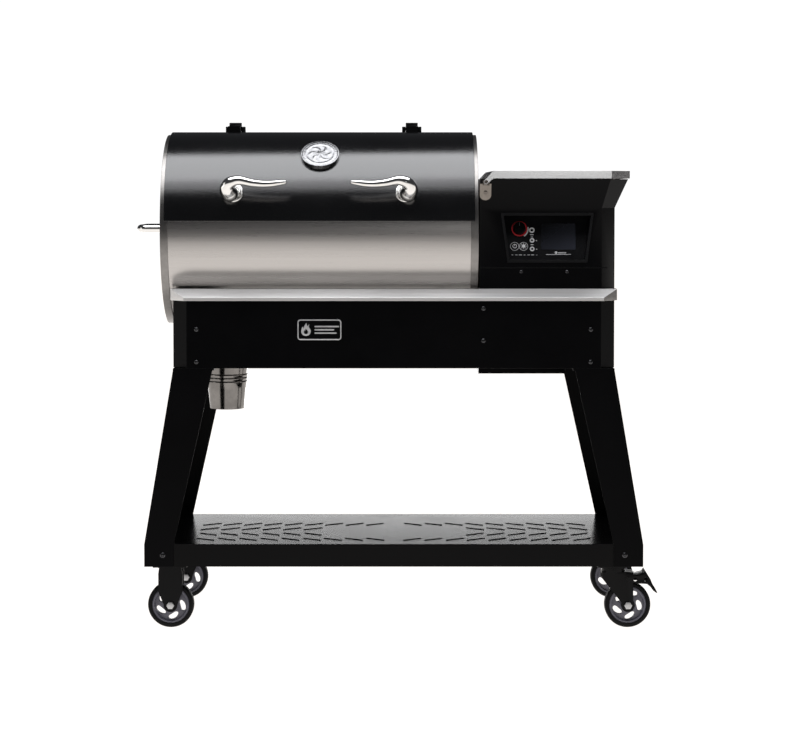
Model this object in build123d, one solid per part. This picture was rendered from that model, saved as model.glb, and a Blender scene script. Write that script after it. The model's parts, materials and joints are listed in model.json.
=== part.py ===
from build123d import *

import math
import os

# A barrel pellet smoker grill on a rolling cart, in millimetres, +Z up, seen from its front along +Y.
# It is laid out about the middle of the cart: X = 0 is the middle of the cart's length, Y = 0 is the
# front of the cart's skirt and Z = 0 is the floor. It is moved at the end, so that the origin is on the
# floor under the middle of the whole grill.

# ---- driving dimensions -------------------------------------------------------------------------------
SHEET = 2.0                # thickness of the steel sheet
GAP = 0.3                  # clearance between pieces that only rest beside each other

CART_HALF = 544.0          # half the cart's length
CART_DEPTH = 516.0
CART_CORNER = 36.0         # flat cut across each upright corner
SKIRT_LOW = 649.0
SKIRT_TOP = 815.0
FLANGE = 22.0              # inward flange of a skirt panel

LEDGE_HALF = 550.0
LEDGE_FRONT = -6.0
LEDGE_BACK = 66.0
LEDGE_LIP_TOP = 823.0
LEDGE_TOP = 843.0
LEDGE_BEVEL_BACK = 30.0    # where the front bevel meets the flat top

LEG_SHEET = 2.5
LEG_TOP = 644.0
LEG_KNEE = 214.0           # height where a leg turns upright
LEG_FOOT = 159.0
LEG_OUT_TOP = 542.0
LEG_OUT_LOW = 614.5
LEG_IN_TOP = 445.0
LEG_IN_LOW = 541.5
LEG_SIDE_WIDTH = 78.0

SADDLE_XS = (-505.0, 120.0)
SADDLE_SHEET = 3.0

SHELF_TOP = 215.0
SHELF_LOW = 159.0
SHELF_HALF = 611.0
SLOT_LENGTH = 58.0
SLOT_WIDTH = 5.5
SLOT_PITCH = 53.0
SLOT_SLANT = 38.0
SLOT_FIRST = 48.0
SLOT_COUNT = 9
SLOT_ROWS = ((79.0, 0, -1), (162.0, 3, -1), (250.0, 3, 1), (328.0, 0, 1))    # Y, first slot, lean

SKIRT_SCREWS = ((-484, 744.5), (-484, 664.6), (483, 744.5), (483, 664.6), (220, 796), (220, 717))
HOPPER_SCREWS = ((314, 885), (427, 885))
FOOT_SCREW_X = 569.0
FOOT_SCREW_Y = 40.0
FOOT_SCREW_Z = 188.0

BADGE_AT = (-182.0, 744.0)
BADGE_SIZE = (107.0, 50.0)
BADGE_BORDER = 2.5

WHEEL_R = 57.0
TYRE_IN = 49.5
TYRE_WIDTH = 32.0
CORE_WIDTH = 30.0
HUB_R = 15.0
HUB_WIDTH = 35.0
AXLE_R = 6.0
RUNNING = 0.08             # radial clearance of a wheel on its axle
FORK_GAP = 37.0            # between a fork's two cheeks
FORK_SHEET = 3.0
RIGID_X = 554.0            # the left wheels stand this far from the middle
SWIVEL_X = 546.0           # and the right casters' swivel axes this far
CASTER_Y = 57.0            # and all of them this far in from the front and the back
CASTER_TRAIL = 35.0        # a swivel wheel runs this far off its swivel axis
CASTER_PLATE_TOP = 157.0
FORK_TOP_RIGID = 150.0
FORK_TOP_SWIVEL = 137.0
PEDAL_PIVOT = (2.0, 70.0)  # brake pedal's pin, from the hub, along X and Z
PEDAL_PIN_R = 3.0

BARREL_Y = 262.0
BARREL_Z = 986.0
BARREL_LEFT = -575.0
BARREL_RIGHT = 209.0
SHELL_R = 238.0
CAP_R = 241.0
CAP_BAND = 19.0            # width of the band where an end cap wraps the barrel
CAP_SHEET = 2.5
LID_R = 248.0
LID_SHEET = 2.5
LID_LEFT = -565.0
LID_RIGHT = 200.0
LID_FRONT_ANGLE = 174.5    # angles run from the back, over the top, to the front
LID_BACK_ANGLE = 80.0
SHELL_FRONT_ANGLE = 168.0
SHELL_BACK_ANGLE = 86.0
BARREL_MIDDLE = (BARREL_LEFT + BARREL_RIGHT) / 2

HINGE_XS = (-410.0, 46.0)
HINGE_Y = 332.0
HINGE_Z = 1244.0
HINGE_PIN_R = 4.0
HINGE_WIDTH = 50.0

SIDE_HANDLE_AT = (-640.0, 989.0)
SIDE_HANDLE_HALF = 85.0
SIDE_HANDLE_R = 10.0

HORN_SPREAD = 212.0        # each horn stands this far from the barrel's middle
HORN_ANGLE = 158.0
MEDALLION_ANGLE = 133.0
MEDALLION_R = 48.0

SPOUT_X = -429.0
SPOUT_R = 14.0
BUCKET_RIM = 651.0
BUCKET_FLOOR = 526.0
BUCKET_TOP_R = 56.0
BUCKET_BASE_R = 44.0
BAIL_PIVOT_Z = 640.0
BAIL_WIRE_R = 2.0
BAIL_TOP_Z = 697.0

GRATE_LOW = 979.0          # the ledges that carry the grates
GRATE_WIDTH = 244.0
PAN_LENGTH = 740.0
PAN_MIDDLE_Z = 934.0
PAN_SLOPE = 1.6            # degrees, down to the spout

POT_X = BARREL_MIDDLE
POT_R = 55.0
AUGER_Z = 805.0
AUGER_TUBE_R = 25.0
AUGER_R = 21.0
AUGER_PITCH = 45.0
AUGER_END = 436.0
PROBE_AT = (BARREL_Y - 60, 1040.0)
BLOWER_X = 265.0
BLOWER_Z = 706.0
BLOWER_R = 50.0
BLOWER_WIDTH = 50.0
BLADE_COUNT = 24
AIR_PIPE_Z = 767.0
AIR_PIPE_R = 9.0

HOPPER_LEFT = 211.0
HOPPER_RIGHT = 547.0
HOPPER_FRONT = 32.0
HOPPER_BACK = 500.0
HOPPER_LOW = 815.5
HOPPER_CORNER = 35.0
FLARE_LOW = 1042.0
FLARE_TOP = 1113.0
FLARE_OUT = 31.0
FLARE_CORNER = 47.0
HOPPER_LID_TOP = 1133.0
HOPPER_LID_LOW = 1114.5
HOPPER_LID_LEFT = 244.0
HOPPER_HINGE_X = 226.0
HOPPER_HINGE_Z = 1106.0
HOPPER_PIN_R = 2.5
LID_OVERHANG = 4.0         # the hopper lid's reach past the hopper's mouth
LID_PAN_SHEET = 1.5

PANEL_TOP = 1026.0         # controller recess in the hopper's front
PANEL_LOW = 912.0
PANEL_TOP_XS = (268.0, 487.5)
PANEL_LOW_XS = (284.0, 473.0)
PANEL_TILT = 18.0          # the panel leans back
PANEL_DEPTH_LOW = 14.0     # how deep the recess is at its lower edge
PANEL_SHEET = 3.0
KNOB_AT = (311.0, 990.0)   # X and Z of each control
POWER_AT = (299.0, 947.0)
LIGHT_AT = (321.0, 947.0)
JACKS_AT = ((342.0, 986.0, 6.0), (342.0, 961.0, 5.0), (342.0, 940.0, 5.0))    # with its radius
SCREEN_AT = (407.0, 971.0)

INLET_AT = (486.0, 880.0)  # X and Z of the power inlet
BIN_XS = (232.0, 526.0)
BIN_YS = (104.0, 440.0)
FUNNEL_TOP = 940.0
FUNNEL_LOW = 846.0
CHUTE_LOW = 831.0
CHUTE_XS = (304.0, 396.0)
CHUTE_YS = (BARREL_Y - 21, BARREL_Y + 21)
GRILLE_LOW = 1072.0

parts = {}


# ---- helpers ------------------------------------------------------------------------------------------
def box(x0, x1, y0, y1, z0, z1):
    """A box between two corners."""
    middle = Pos((x0 + x1) / 2, (y0 + y1) / 2, (z0 + z1) / 2)
    return middle * Box(x1 - x0, y1 - y0, z1 - z0)


def polygon(points):
    """A flat face with straight edges, in local coordinates."""
    return make_face(Polyline(*points, close=True))


def along_x(face, x0, x1, y=0.0, z=0.0):
    """Extrudes a face drawn in (Y, Z), set at (y, z), from x0 to x1."""
    plane = Plane(origin=(x0, y, z), x_dir=(0, 1, 0), z_dir=(1, 0, 0))
    return extrude(plane * face, amount=x1 - x0)


def along_y(face, y0, y1, x=0.0, z=0.0):
    """Extrudes a face drawn in (X, Z), set at (x, z), from y0 to y1."""
    plane = Plane(origin=(x, y1, z), x_dir=(1, 0, 0), z_dir=(0, -1, 0))
    return extrude(plane * face, amount=y1 - y0)


def along_z(face, z0, z1):
    """Extrudes a face drawn in (X, Y) from z0 to z1."""
    return extrude(Plane.XY.offset(z0) * face, amount=z1 - z0)


def rod_x(radius, x0, x1, y, z):
    """A round rod along X."""
    return along_x(Circle(radius), x0, x1, y, z)


def rod_y(radius, y0, y1, x, z):
    """A round rod along Y."""
    return along_y(Circle(radius), y0, y1, x, z)


def rod_z(radius, z0, z1, x, y):
    """A round rod along Z."""
    return Pos(x, y, 0) * along_z(Circle(radius), z0, z1)


def inset(points, amount):
    """Moves each edge of a counter-clockwise outline inwards by the same amount."""
    moved = []
    count = len(points)
    for i in range(count):
        before, here, after = (Vector(*points[j % count]) for j in (i - 1, i, i + 1))
        first = (here - before).normalized()
        second = (after - here).normalized()
        first_normal = Vector(-first.Y, first.X)
        second_normal = Vector(-second.Y, second.X)
        bisector = (first_normal + second_normal).normalized()
        step = bisector * (amount / bisector.dot(first_normal))
        moved.append((here.X + step.X, here.Y + step.Y))
    return moved


def front_and_back(shape):
    """The shape and its mirror image at the other side of the cart."""
    middle = Plane(origin=(0, CART_DEPTH / 2, 0), x_dir=(1, 0, 0), z_dir=(0, -1, 0))
    return [shape, mirror(shape, about=middle)]


def left_and_right(shape):
    """The shape and its mirror image at the other end of the cart."""
    return [shape, mirror(shape, about=Plane.YZ)]


def group(shapes):
    """Separate solids that share one node."""
    return Part() + shapes


def arc_strip(inner, outer, start, size):
    """A face between two radii, turning through size degrees from start."""
    outer_arc = CenterArc((0, 0), outer, start, size)
    inner_arc = CenterArc((0, 0), inner, start, size)
    first_end = Line(outer_arc @ 0, inner_arc @ 0)
    last_end = Line(outer_arc @ 1, inner_arc @ 1)
    return make_face([outer_arc, inner_arc, first_end, last_end])


def barrel_sector(inner, outer, start, end, x0, x1):
    """Part of a tube about the barrel's axis. Angles run from the back, over the top, to the front."""
    return along_x(arc_strip(inner, outer, start, end - start), x0, x1, BARREL_Y, BARREL_Z)


def barrel_rod(radius, x0=BARREL_LEFT - 50, x1=BARREL_RIGHT + 50):
    """A solid cylinder on the barrel's axis."""
    return rod_x(radius, x0, x1, BARREL_Y, BARREL_Z)


def barrel_point(radius, angle):
    """(Y, Z) of a point at a radius and an angle about the barrel's axis."""
    turn = math.radians(angle)
    return BARREL_Y + radius * math.cos(turn), BARREL_Z + radius * math.sin(turn)


# ---- cart ---------------------------------------------------------------------------------------------
def cart_outline():
    """The cart's plan, an oblong with flat-cut corners, counter-clockwise from the front left."""
    half = CART_HALF
    back = CART_DEPTH
    cut = CART_CORNER
    return [
        (-half + cut, 0),
        (half - cut, 0),
        (half, cut),
        (half, back - cut),
        (half - cut, back),
        (-half + cut, back),
        (-half, back - cut),
        (-half, cut),
    ]


def cart_ring(width, z0, z1):
    """A ring that follows the cart's outline."""
    outer = along_z(polygon(cart_outline()), z0, z1)
    return outer - along_z(polygon(inset(cart_outline(), width)), z0, z1)


def make_skirts():
    """Folded sheet panels round the cart: a web with an inward flange at its top and its foot."""
    ring = cart_ring(SHEET, SKIRT_LOW, SKIRT_TOP)
    ring += cart_ring(FLANGE, SKIRT_LOW, SKIRT_LOW + SHEET)
    ring += cart_ring(FLANGE, SKIRT_TOP - SHEET, SKIRT_TOP)
    reach = CART_HALF + 1
    seam = CART_CORNER
    front = ring & box(-reach, reach, -1, seam, SKIRT_LOW, SKIRT_TOP)
    back = ring & box(-reach, reach, CART_DEPTH - seam, CART_DEPTH + 1, SKIRT_LOW, SKIRT_TOP)
    sides = ring & box(-reach, reach, seam + GAP, CART_DEPTH - seam - GAP, SKIRT_LOW, SKIRT_TOP)
    parts["front_skirt"] = front
    parts["rear_skirt"] = back
    parts["side_skirts"] = sides - barrel_rod(CAP_R + 2.5)


def ledge_block(t):
    """The stainless front ledge as a full block, with every outer face moved inwards by t."""
    half = LEDGE_HALF - t
    front = LEDGE_FRONT + t
    cut = CART_CORNER - 1
    low = SKIRT_TOP - (1 if t else 0)
    back = LEDGE_BACK + (1 if t else 0)
    lip = [(-half + cut, front), (half - cut, front), (half, front + cut), (half, back)]
    lip += [(-half, back), (-half, front + cut)]
    lower = along_z(polygon(lip), low, LEDGE_LIP_TOP)
    upper = box(-half, half, front, back, LEDGE_LIP_TOP, LEDGE_TOP - t)
    rise = Vector(0, LEDGE_BEVEL_BACK - LEDGE_FRONT, LEDGE_TOP - LEDGE_LIP_TOP)
    outward = Vector(0, -rise.Z, rise.Y).normalized()
    bevel = Plane(origin=(0, front, LEDGE_LIP_TOP), z_dir=outward)
    upper = split(upper, bisect_by=bevel, keep=Keep.BOTTOM)
    for side in (-1, 1):
        first = Vector(side * (half - cut), front, LEDGE_LIP_TOP)
        second = Vector(side * half, front + cut, LEDGE_LIP_TOP)
        third = Vector(side * half, LEDGE_BEVEL_BACK + t, LEDGE_TOP - t)
        normal = (second - first).cross(third - first).normalized()
        if normal.X * side < 0:
            normal = normal * -1
        upper = split(upper, bisect_by=Plane(origin=first, z_dir=normal), keep=Keep.BOTTOM)
    return lower + upper


def make_ledge():
    """A folded stainless cap: lip, sloping bevel and a narrow flat shelf in front of the barrel."""
    parts["front_ledge"] = ledge_block(0) - ledge_block(1.5)


def make_saddles():
    """Two upright cross plates, each cut out to carry the barrel."""
    plates = []
    near = SHEET + GAP
    far = CART_DEPTH - SHEET - GAP
    for x in SADDLE_XS:
        plate = box(x, x + SADDLE_SHEET, near, far, SKIRT_LOW + 4, SKIRT_TOP - 3)
        plates.append(plate - barrel_rod(SHELL_R + GAP))
    parts["barrel_saddles"] = group(plates)


def make_legs():
    """Four sheet-steel angle legs that splay towards the ends and turn upright at the shelf."""
    front = [
        (-LEG_OUT_TOP, LEG_TOP),
        (-LEG_OUT_LOW, LEG_KNEE),
        (-LEG_OUT_LOW, LEG_FOOT),
        (-LEG_IN_LOW, LEG_FOOT),
        (-LEG_IN_LOW, LEG_KNEE),
        (-LEG_IN_TOP, LEG_TOP),
    ]
    side = [
        (-LEG_OUT_TOP, LEG_TOP),
        (-LEG_OUT_LOW, LEG_KNEE),
        (-LEG_OUT_LOW, LEG_FOOT),
        (-LEG_OUT_LOW + LEG_SHEET, LEG_FOOT),
        (-LEG_OUT_LOW + LEG_SHEET, LEG_KNEE),
        (-LEG_OUT_TOP + LEG_SHEET, LEG_TOP),
    ]
    leg = along_y(polygon(front), 0, LEG_SHEET) + along_y(polygon(side), 0, LEG_SIDE_WIDTH)
    leg += box(-LEG_OUT_TOP, -LEG_IN_TOP + 4, 0, LEG_SIDE_WIDTH, LEG_TOP, SKIRT_LOW)
    pair = left_and_right(leg)
    parts["legs"] = group([one for half in pair for one in front_and_back(half)])


def slot_row_positions(inner):
    """Where the slots of one half of a row stand, counted from the middle outwards."""
    return [SLOT_FIRST + SLOT_PITCH * i for i in range(inner, SLOT_COUNT)]


def make_shelf():
    """A folded tray with the open side down and four rows of slanted drain slots."""
    low = LEG_SHEET + GAP
    high = CART_DEPTH - LEG_SHEET - GAP
    tray = box(-SHELF_HALF, SHELF_HALF, low, high, SHELF_LOW, SHELF_TOP)
    tray -= box(
        -SHELF_HALF + SHEET,
        SHELF_HALF - SHEET,
        low + SHEET,
        high - SHEET,
        SHELF_LOW + SHEET,
        SHELF_TOP - SHEET,
    )
    rim = 24.0
    end = SHELF_HALF - 125
    tray -= box(-end, end, low + rim, high - rim, SHELF_LOW - 1, SHELF_LOW + 3)
    cutters = []
    for y, inner, lean in SLOT_ROWS:
        for x in slot_row_positions(inner):
            for side in (-1, 1):
                slot = SlotOverall(SLOT_LENGTH, SLOT_WIDTH, rotation=-side * lean * SLOT_SLANT)
                cutters.append(Pos(side * x, y, 0) * along_z(slot, SHELF_TOP - 3, SHELF_TOP + 1))
    parts["bottom_shelf"] = tray - cutters


def button_head(radius=5.0, height=2.6):
    """A low domed screw head that stands on Z = 0."""
    side = height * 0.3
    crown = height - side
    dome_r = (radius * radius + crown * crown) / (2 * crown)
    dome = Pos(0, 0, height - dome_r) * Sphere(dome_r)
    return dome & (Pos(0, 0, height / 2) * Cylinder(radius, height))


def facing(x, y, z, direction):
    """A location whose local Z points along direction."""
    return Plane(origin=(x, y, z), z_dir=direction).location


def make_screws():
    """Button-head screws of the skirts, the legs, the hopper's lower panel and the undertray."""
    heads = []
    for x, z in SKIRT_SCREWS:
        heads.append(facing(x, 0, z, (0, -1, 0)) * button_head())
        heads.append(facing(x, CART_DEPTH, z, (0, 1, 0)) * button_head())
    for x, z in HOPPER_SCREWS:
        heads.append(facing(x, HOPPER_FRONT, z, (0, -1, 0)) * button_head(4.0, 2.2))
    for side in (-1, 1):
        for y, way in ((0, -1), (CART_DEPTH, 1)):
            heads.append(facing(side * FOOT_SCREW_X, y, FOOT_SCREW_Z, (0, way, 0)) * button_head(6.5, 3.4))
        for y in (FOOT_SCREW_Y, CART_DEPTH - FOOT_SCREW_Y):
            heads.append(facing(side * LEG_OUT_LOW, y, FOOT_SCREW_Z, (side, 0, 0)) * button_head(6.5, 3.4))
    parts["cart_screws"] = group(heads)


def make_badge():
    """A rounded oblong name-plate blank on the front skirt."""
    width, height = BADGE_SIZE
    field = RectangleRounded(width - 2 * BADGE_BORDER, height - 2 * BADGE_BORDER, 5)
    plate = along_y(RectangleRounded(width, height, 7), -2.0, 0.0, *BADGE_AT)
    parts["badge_plate"] = plate - along_y(field, -2.1, -1.4, *BADGE_AT)


def make_undertray():
    """The open-topped box under the auger drive, hung from the skirt's lower flanges."""
    x0, x1, y0, y1 = 213.0, 432.0, 150.0, 400.0
    low = 624.0
    top = SKIRT_LOW + SHEET + GAP
    tray = box(x0, x1, y0, y1, low, top) - box(x0 + 2, x1 - 2, y0 + 2, y1 - 2, low + 2, top + 1)
    for x in (x0, x1 - 20):
        tray += box(x, x + 20, SHEET + 1, CART_DEPTH - SHEET - 1, top, top + 2)
    tray -= box(x0 + 2, x1 - 2, y0 + 2, y1 - 2, low + 2, top + 3)
    tray += Pos(306, 200, low) * Rot(180, 0, 0) * button_head(6.0, 3.0)
    parts["undertray"] = tray


# ---- casters ------------------------------------------------------------------------------------------
def hex_bolt(x, y, z, reach):
    """An axle bolt along Y with a hex head in front and a nut behind."""
    shaft = rod_y(AXLE_R, y - reach, y + reach, x, z)
    head = along_y(RegularPolygon(10, 6), y - reach - 6, y - reach, x, z)
    nut = along_y(RegularPolygon(10, 6), y + reach, y + reach + 6, x, z)
    return shaft + head + nut


def cheek_outline_rigid():
    """Side of a rigid fork, from its hub: straight, then drawn in to a round end."""
    top = FORK_TOP_RIGID - WHEEL_R
    return [
        (-28, top), (-30, top - 14), (-30, 34), (-17, 2), (17, 2), (30, 34), (30, top - 14), (28, top),
    ]


def cheek_outline_swivel():
    """Side of a swivel fork, from its hub: upright behind the hub, slanting in front of it."""
    top = FORK_TOP_SWIVEL - WHEEL_R
    return [(-65, top), (-65, top - 12), (-14, 4), (10, -4), (13, 4), (13, top)]


def fork(x, y, cheek, top):
    """Two cheeks, a round boss at the hub and the plate that joins the cheeks on top."""
    half = FORK_GAP / 2
    body = Part()
    for side in (-1, 1):
        near = y + side * half
        far = y + side * (half + FORK_SHEET)
        low, high = min(near, far), max(near, far)
        body += along_y(polygon(cheek), low, high, x, WHEEL_R)
        body += rod_y(17.0, low, high, x, WHEEL_R)
    left = min(point[0] for point in cheek)
    right = max(point[0] for point in cheek)
    reach = half + FORK_SHEET
    body += box(x + left, x + right, y - reach, y + reach, top, top + FORK_SHEET)
    return body - rod_y(AXLE_R + 0.05, y - reach - 1, y + reach + 1, x, WHEEL_R)


def make_wheel(name, x, y):
    """A moulded core with five swept openings, and the tyre round it."""
    core = rod_y(TYRE_IN - 0.05, y - CORE_WIDTH / 2, y + CORE_WIDTH / 2, x, WHEEL_R)
    for side in (-1, 1):
        pocket_low = y + side * 4
        pocket_high = y + side * CORE_WIDTH
        low, high = min(pocket_low, pocket_high), max(pocket_low, pocket_high)
        core -= rod_y(41.0, low, high, x, WHEEL_R)
    core += rod_y(HUB_R, y - HUB_WIDTH / 2, y + HUB_WIDTH / 2, x, WHEEL_R)
    opening = SlotOverall(26, 13)
    at = Plane(origin=(x, y + 10, WHEEL_R), x_dir=(1, 0, 0), z_dir=(0, -1, 0))
    for i in range(5):
        place = at * Rot(0, 0, 72 * i + 90) * Pos(29.5, 0, 0) * Rot(0, 0, 62)
        core -= extrude(place * opening, amount=20)
    core -= rod_y(AXLE_R + RUNNING, y - HUB_WIDTH, y + HUB_WIDTH, x, WHEEL_R)
    parts["wheel_core_" + name] = core
    half = TYRE_WIDTH / 2
    shoulder = 4.0
    profile = [
        (TYRE_IN, -half),
        (WHEEL_R - shoulder, -half),
        (WHEEL_R - 1.2, -half + shoulder * 0.45),
        (WHEEL_R, -half + shoulder * 1.5),
        (WHEEL_R, half - shoulder * 1.5),
        (WHEEL_R - 1.2, half - shoulder * 0.45),
        (WHEEL_R - shoulder, half),
        (TYRE_IN, half),
    ]
    tyre = revolve(Plane.XY * polygon(profile), Axis.Y)
    parts["tyre_" + name] = Pos(x, y, WHEEL_R) * tyre


def brake_pedal(hub_x, y):
    """A pressed lever: two drilled cheeks outside the fork, a top web and a foot plate that curls down."""
    inner = FORK_GAP / 2 + FORK_SHEET + 0.6
    outer = inner + 2.0
    cheek = [
        (-5, 80), (7, 79), (22, 74), (38, 78.6), (42, 85), (53, 64),
        (52, 50), (40, 54), (19, 55), (3, 61), (-5, 64),
    ]
    web = [
        (15.5, 78.4), (22, 76), (38, 80.6), (42, 87), (54.6, 66), (60, 51), (66, 42), (73, 32),
        (71, 31), (64.6, 40), (58, 50), (52.8, 65), (41.8, 84), (38.6, 78.4), (22, 74), (15.5, 76.4),
    ]
    pedal = Part()
    for side in (-1, 1):
        low, high = sorted((y + side * inner, y + side * outer))
        pedal += along_y(polygon(cheek), low, high, hub_x, WHEEL_R)
    pedal += along_y(polygon(web), y - outer, y + outer, hub_x, WHEEL_R)
    for dx in (17.7, 44.0):
        pedal -= rod_y(5.2, y - outer - 1, y + outer + 1, hub_x + dx, WHEEL_R + 65)
    pin_x = hub_x + PEDAL_PIVOT[0]
    pin_z = WHEEL_R + PEDAL_PIVOT[1]
    return pedal - rod_y(PEDAL_PIN_R + 0.06, y - outer - 1, y + outer + 1, pin_x, pin_z)


def caster_plate(x, y, low):
    """The oblong plate that bolts a caster to the underside of the cart."""
    return box(x - 42, x + 42, y - 34, y + 34, low, CASTER_PLATE_TOP)


def make_casters():
    """Rigid casters at the left, swivel casters with a brake at the right."""
    bolt_reach = FORK_GAP / 2 + FORK_SHEET + 0.6
    forks = []
    plates = []
    for name, y in (("front", CASTER_Y), ("rear", CART_DEPTH - CASTER_Y)):
        rigid = fork(-RIGID_X, y, cheek_outline_rigid(), FORK_TOP_RIGID)
        rigid += caster_plate(-RIGID_X, y, FORK_TOP_RIGID + 3)
        forks.append(rigid)
        forks.append(hex_bolt(-RIGID_X, y, WHEEL_R, bolt_reach))
        make_wheel(name + "_left", -RIGID_X, y)
        hub_x = SWIVEL_X + CASTER_TRAIL
        make_wheel(name + "_right", hub_x, y)
        swivel = fork(hub_x, y, cheek_outline_swivel(), FORK_TOP_SWIVEL)
        swivel += rod_z(29.0, FORK_TOP_SWIVEL + 3, 148.0, SWIVEL_X, y)
        pin_x = hub_x + PEDAL_PIVOT[0]
        pin_z = WHEEL_R + PEDAL_PIVOT[1]
        reach = FORK_GAP / 2 + FORK_SHEET
        for side in (-1, 1):
            low, high = sorted((y + side * reach, y + side * (reach + 4.0)))
            swivel += rod_y(PEDAL_PIN_R, low, high, pin_x, pin_z)
        parts["swivel_fork_" + name] = group([swivel, hex_bolt(hub_x, y, WHEEL_R, bolt_reach)])
        parts["brake_pedal_" + name] = brake_pedal(hub_x, y)
        plate = caster_plate(SWIVEL_X, y, CASTER_PLATE_TOP - 4)
        plate += rod_z(33.0, 148.0 + GAP, CASTER_PLATE_TOP - 4, SWIVEL_X, y)
        plates.append(plate)
    parts["left_caster_forks"] = group(forks)
    parts["swivel_plates"] = group(plates)


# ---- barrel -------------------------------------------------------------------------------------------
def end_cap(x_outer, x_band, holes):
    """A flat disc with a band that wraps the end of the barrel."""
    x_face = x_outer + math.copysign(CAP_SHEET, x_band - x_outer)
    disc = barrel_rod(CAP_R, *sorted((x_outer, x_face)))
    band = barrel_rod(CAP_R, *sorted((x_face, x_band)))
    cap = disc + (band - barrel_rod(SHELL_R + 0.2))
    for radius, y, z in holes:
        cap -= rod_x(radius, *sorted((x_outer - 5, x_outer + 5)), y, z)
    return cap


def make_barrel():
    """The fixed shell, open at the top front, and its two end caps."""
    x0 = BARREL_LEFT + CAP_SHEET + GAP
    x1 = BARREL_RIGHT - CAP_SHEET - GAP
    shell = barrel_sector(SHELL_R - SHEET, SHELL_R, SHELL_FRONT_ANGLE, 360 + SHELL_BACK_ANGLE, x0, x1)
    for y in (BARREL_Y - 237, BARREL_Y + 213):
        ledge = box(x0 + 12, x1 - 12, y, y + 24, GRATE_LOW - 3, GRATE_LOW)
        shell += ledge & barrel_rod(SHELL_R - 0.5)
    shell -= rod_z(SPOUT_R + GAP, 700, 800, SPOUT_X, BARREL_Y)
    slot_y, slot_z = barrel_point(SHELL_R, 23)
    for x in (BARREL_MIDDLE - 90, BARREL_MIDDLE, BARREL_MIDDLE + 90):
        shell -= box(x - 35, x + 35, slot_y - 8, slot_y + 8, slot_z - 8, slot_z + 8)
    parts["barrel_shell"] = shell
    auger_hole = (AUGER_TUBE_R + GAP, BARREL_Y, AUGER_Z)
    air_hole = (AIR_PIPE_R + GAP, BARREL_Y, AIR_PIPE_Z)
    left = end_cap(BARREL_LEFT, BARREL_LEFT + CAP_BAND, [])
    right = end_cap(BARREL_RIGHT, BARREL_RIGHT - CAP_BAND, [auger_hole, air_hole])
    parts["end_caps"] = group([left, right])


def make_exhaust():
    """A vent hood, open below, over the slots at the back of the barrel."""
    x0 = BARREL_MIDDLE - 150
    x1 = BARREL_MIDDLE + 150
    outer = barrel_sector(SHELL_R + 0.2, SHELL_R + 36, 8, 36, x0, x1)
    inner = barrel_sector(SHELL_R - 1, SHELL_R + 34, 6, 35.4, x0 + 2, x1 - 2)
    parts["exhaust_hood"] = outer - inner


def make_side_handle():
    """A bar that stands off the left end cap on two posts."""
    x, z = SIDE_HANDLE_AT
    half = SIDE_HANDLE_HALF
    handle = rod_y(SIDE_HANDLE_R, BARREL_Y - half, BARREL_Y + half, x, z)
    for y in (BARREL_Y - half, BARREL_Y + half):
        handle += Pos(x, y, z) * Sphere(SIDE_HANDLE_R)
        handle += rod_x(SIDE_HANDLE_R, x, BARREL_LEFT, y, z)
        handle += rod_x(SIDE_HANDLE_R + 4, BARREL_LEFT - 8, BARREL_LEFT, y, z)
    parts["side_handle"] = handle


def make_lid():
    """The curved lid with a turned-in hem along its lower edge and both ends."""
    inner = LID_R - LID_SHEET
    hem = inner - 3.2
    back = LID_BACK_ANGLE
    front = LID_FRONT_ANGLE
    lid = barrel_sector(inner, LID_R, back, front, LID_LEFT, LID_RIGHT)
    for x in (LID_LEFT, LID_RIGHT - LID_SHEET):
        lid += barrel_sector(hem, inner, back, front, x, x + LID_SHEET)
    lid += barrel_sector(hem, LID_R - 1, front - 0.6, front, LID_LEFT, LID_RIGHT)
    parts["barrel_lid"] = lid


def make_medallion():
    """A round cast boss on the lid, flat in front and fitted to the curve behind."""
    y, z = barrel_point(LID_R - 5, MEDALLION_ANGLE)
    turn = math.radians(MEDALLION_ANGLE)
    outward = (0, math.cos(turn), math.sin(turn))
    plane = Plane(origin=(BARREL_MIDDLE, y, z), x_dir=(1, 0, 0), z_dir=outward)
    disc = extrude(plane * Circle(MEDALLION_R), amount=12)
    rim = plane * Pos(0, 0, 12) * (Cylinder(MEDALLION_R, 2) - Cylinder(MEDALLION_R - 5, 3))
    parts["lid_medallion"] = disc + rim - barrel_rod(LID_R + 0.05)


def make_horns():
    """Two horn-shaped handles, drawn as round bar that leaves a collar on the lid and turns inwards."""
    y0, z0 = barrel_point(LID_R - 1, HORN_ANGLE)
    turn = math.radians(HORN_ANGLE)
    outward = Vector(0, math.cos(turn), math.sin(turn))
    x0 = BARREL_MIDDLE - HORN_SPREAD
    start = Vector(x0, y0, z0)
    knee = start + outward * 40
    points = [
        start,
        knee,
        (x0 + 16, -24, 1111),
        (x0 + 56, -24, 1102),
        (x0 + 94, -24, 1101),
        (x0 + 133, -22, 1106),
    ]
    path = FilletPolyline(*points, radius=9.5)
    section = Plane(origin=start, z_dir=outward) * Circle(8.0)
    horn = sweep(section, path=path)
    horn += extrude(Plane(origin=start, z_dir=outward) * Circle(24.5), amount=9)
    horn -= barrel_rod(LID_R + 0.05)
    other = mirror(horn, about=Plane(origin=(BARREL_MIDDLE, 0, 0), z_dir=(1, 0, 0)))
    parts["horn_handles"] = group([horn, other])


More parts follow.
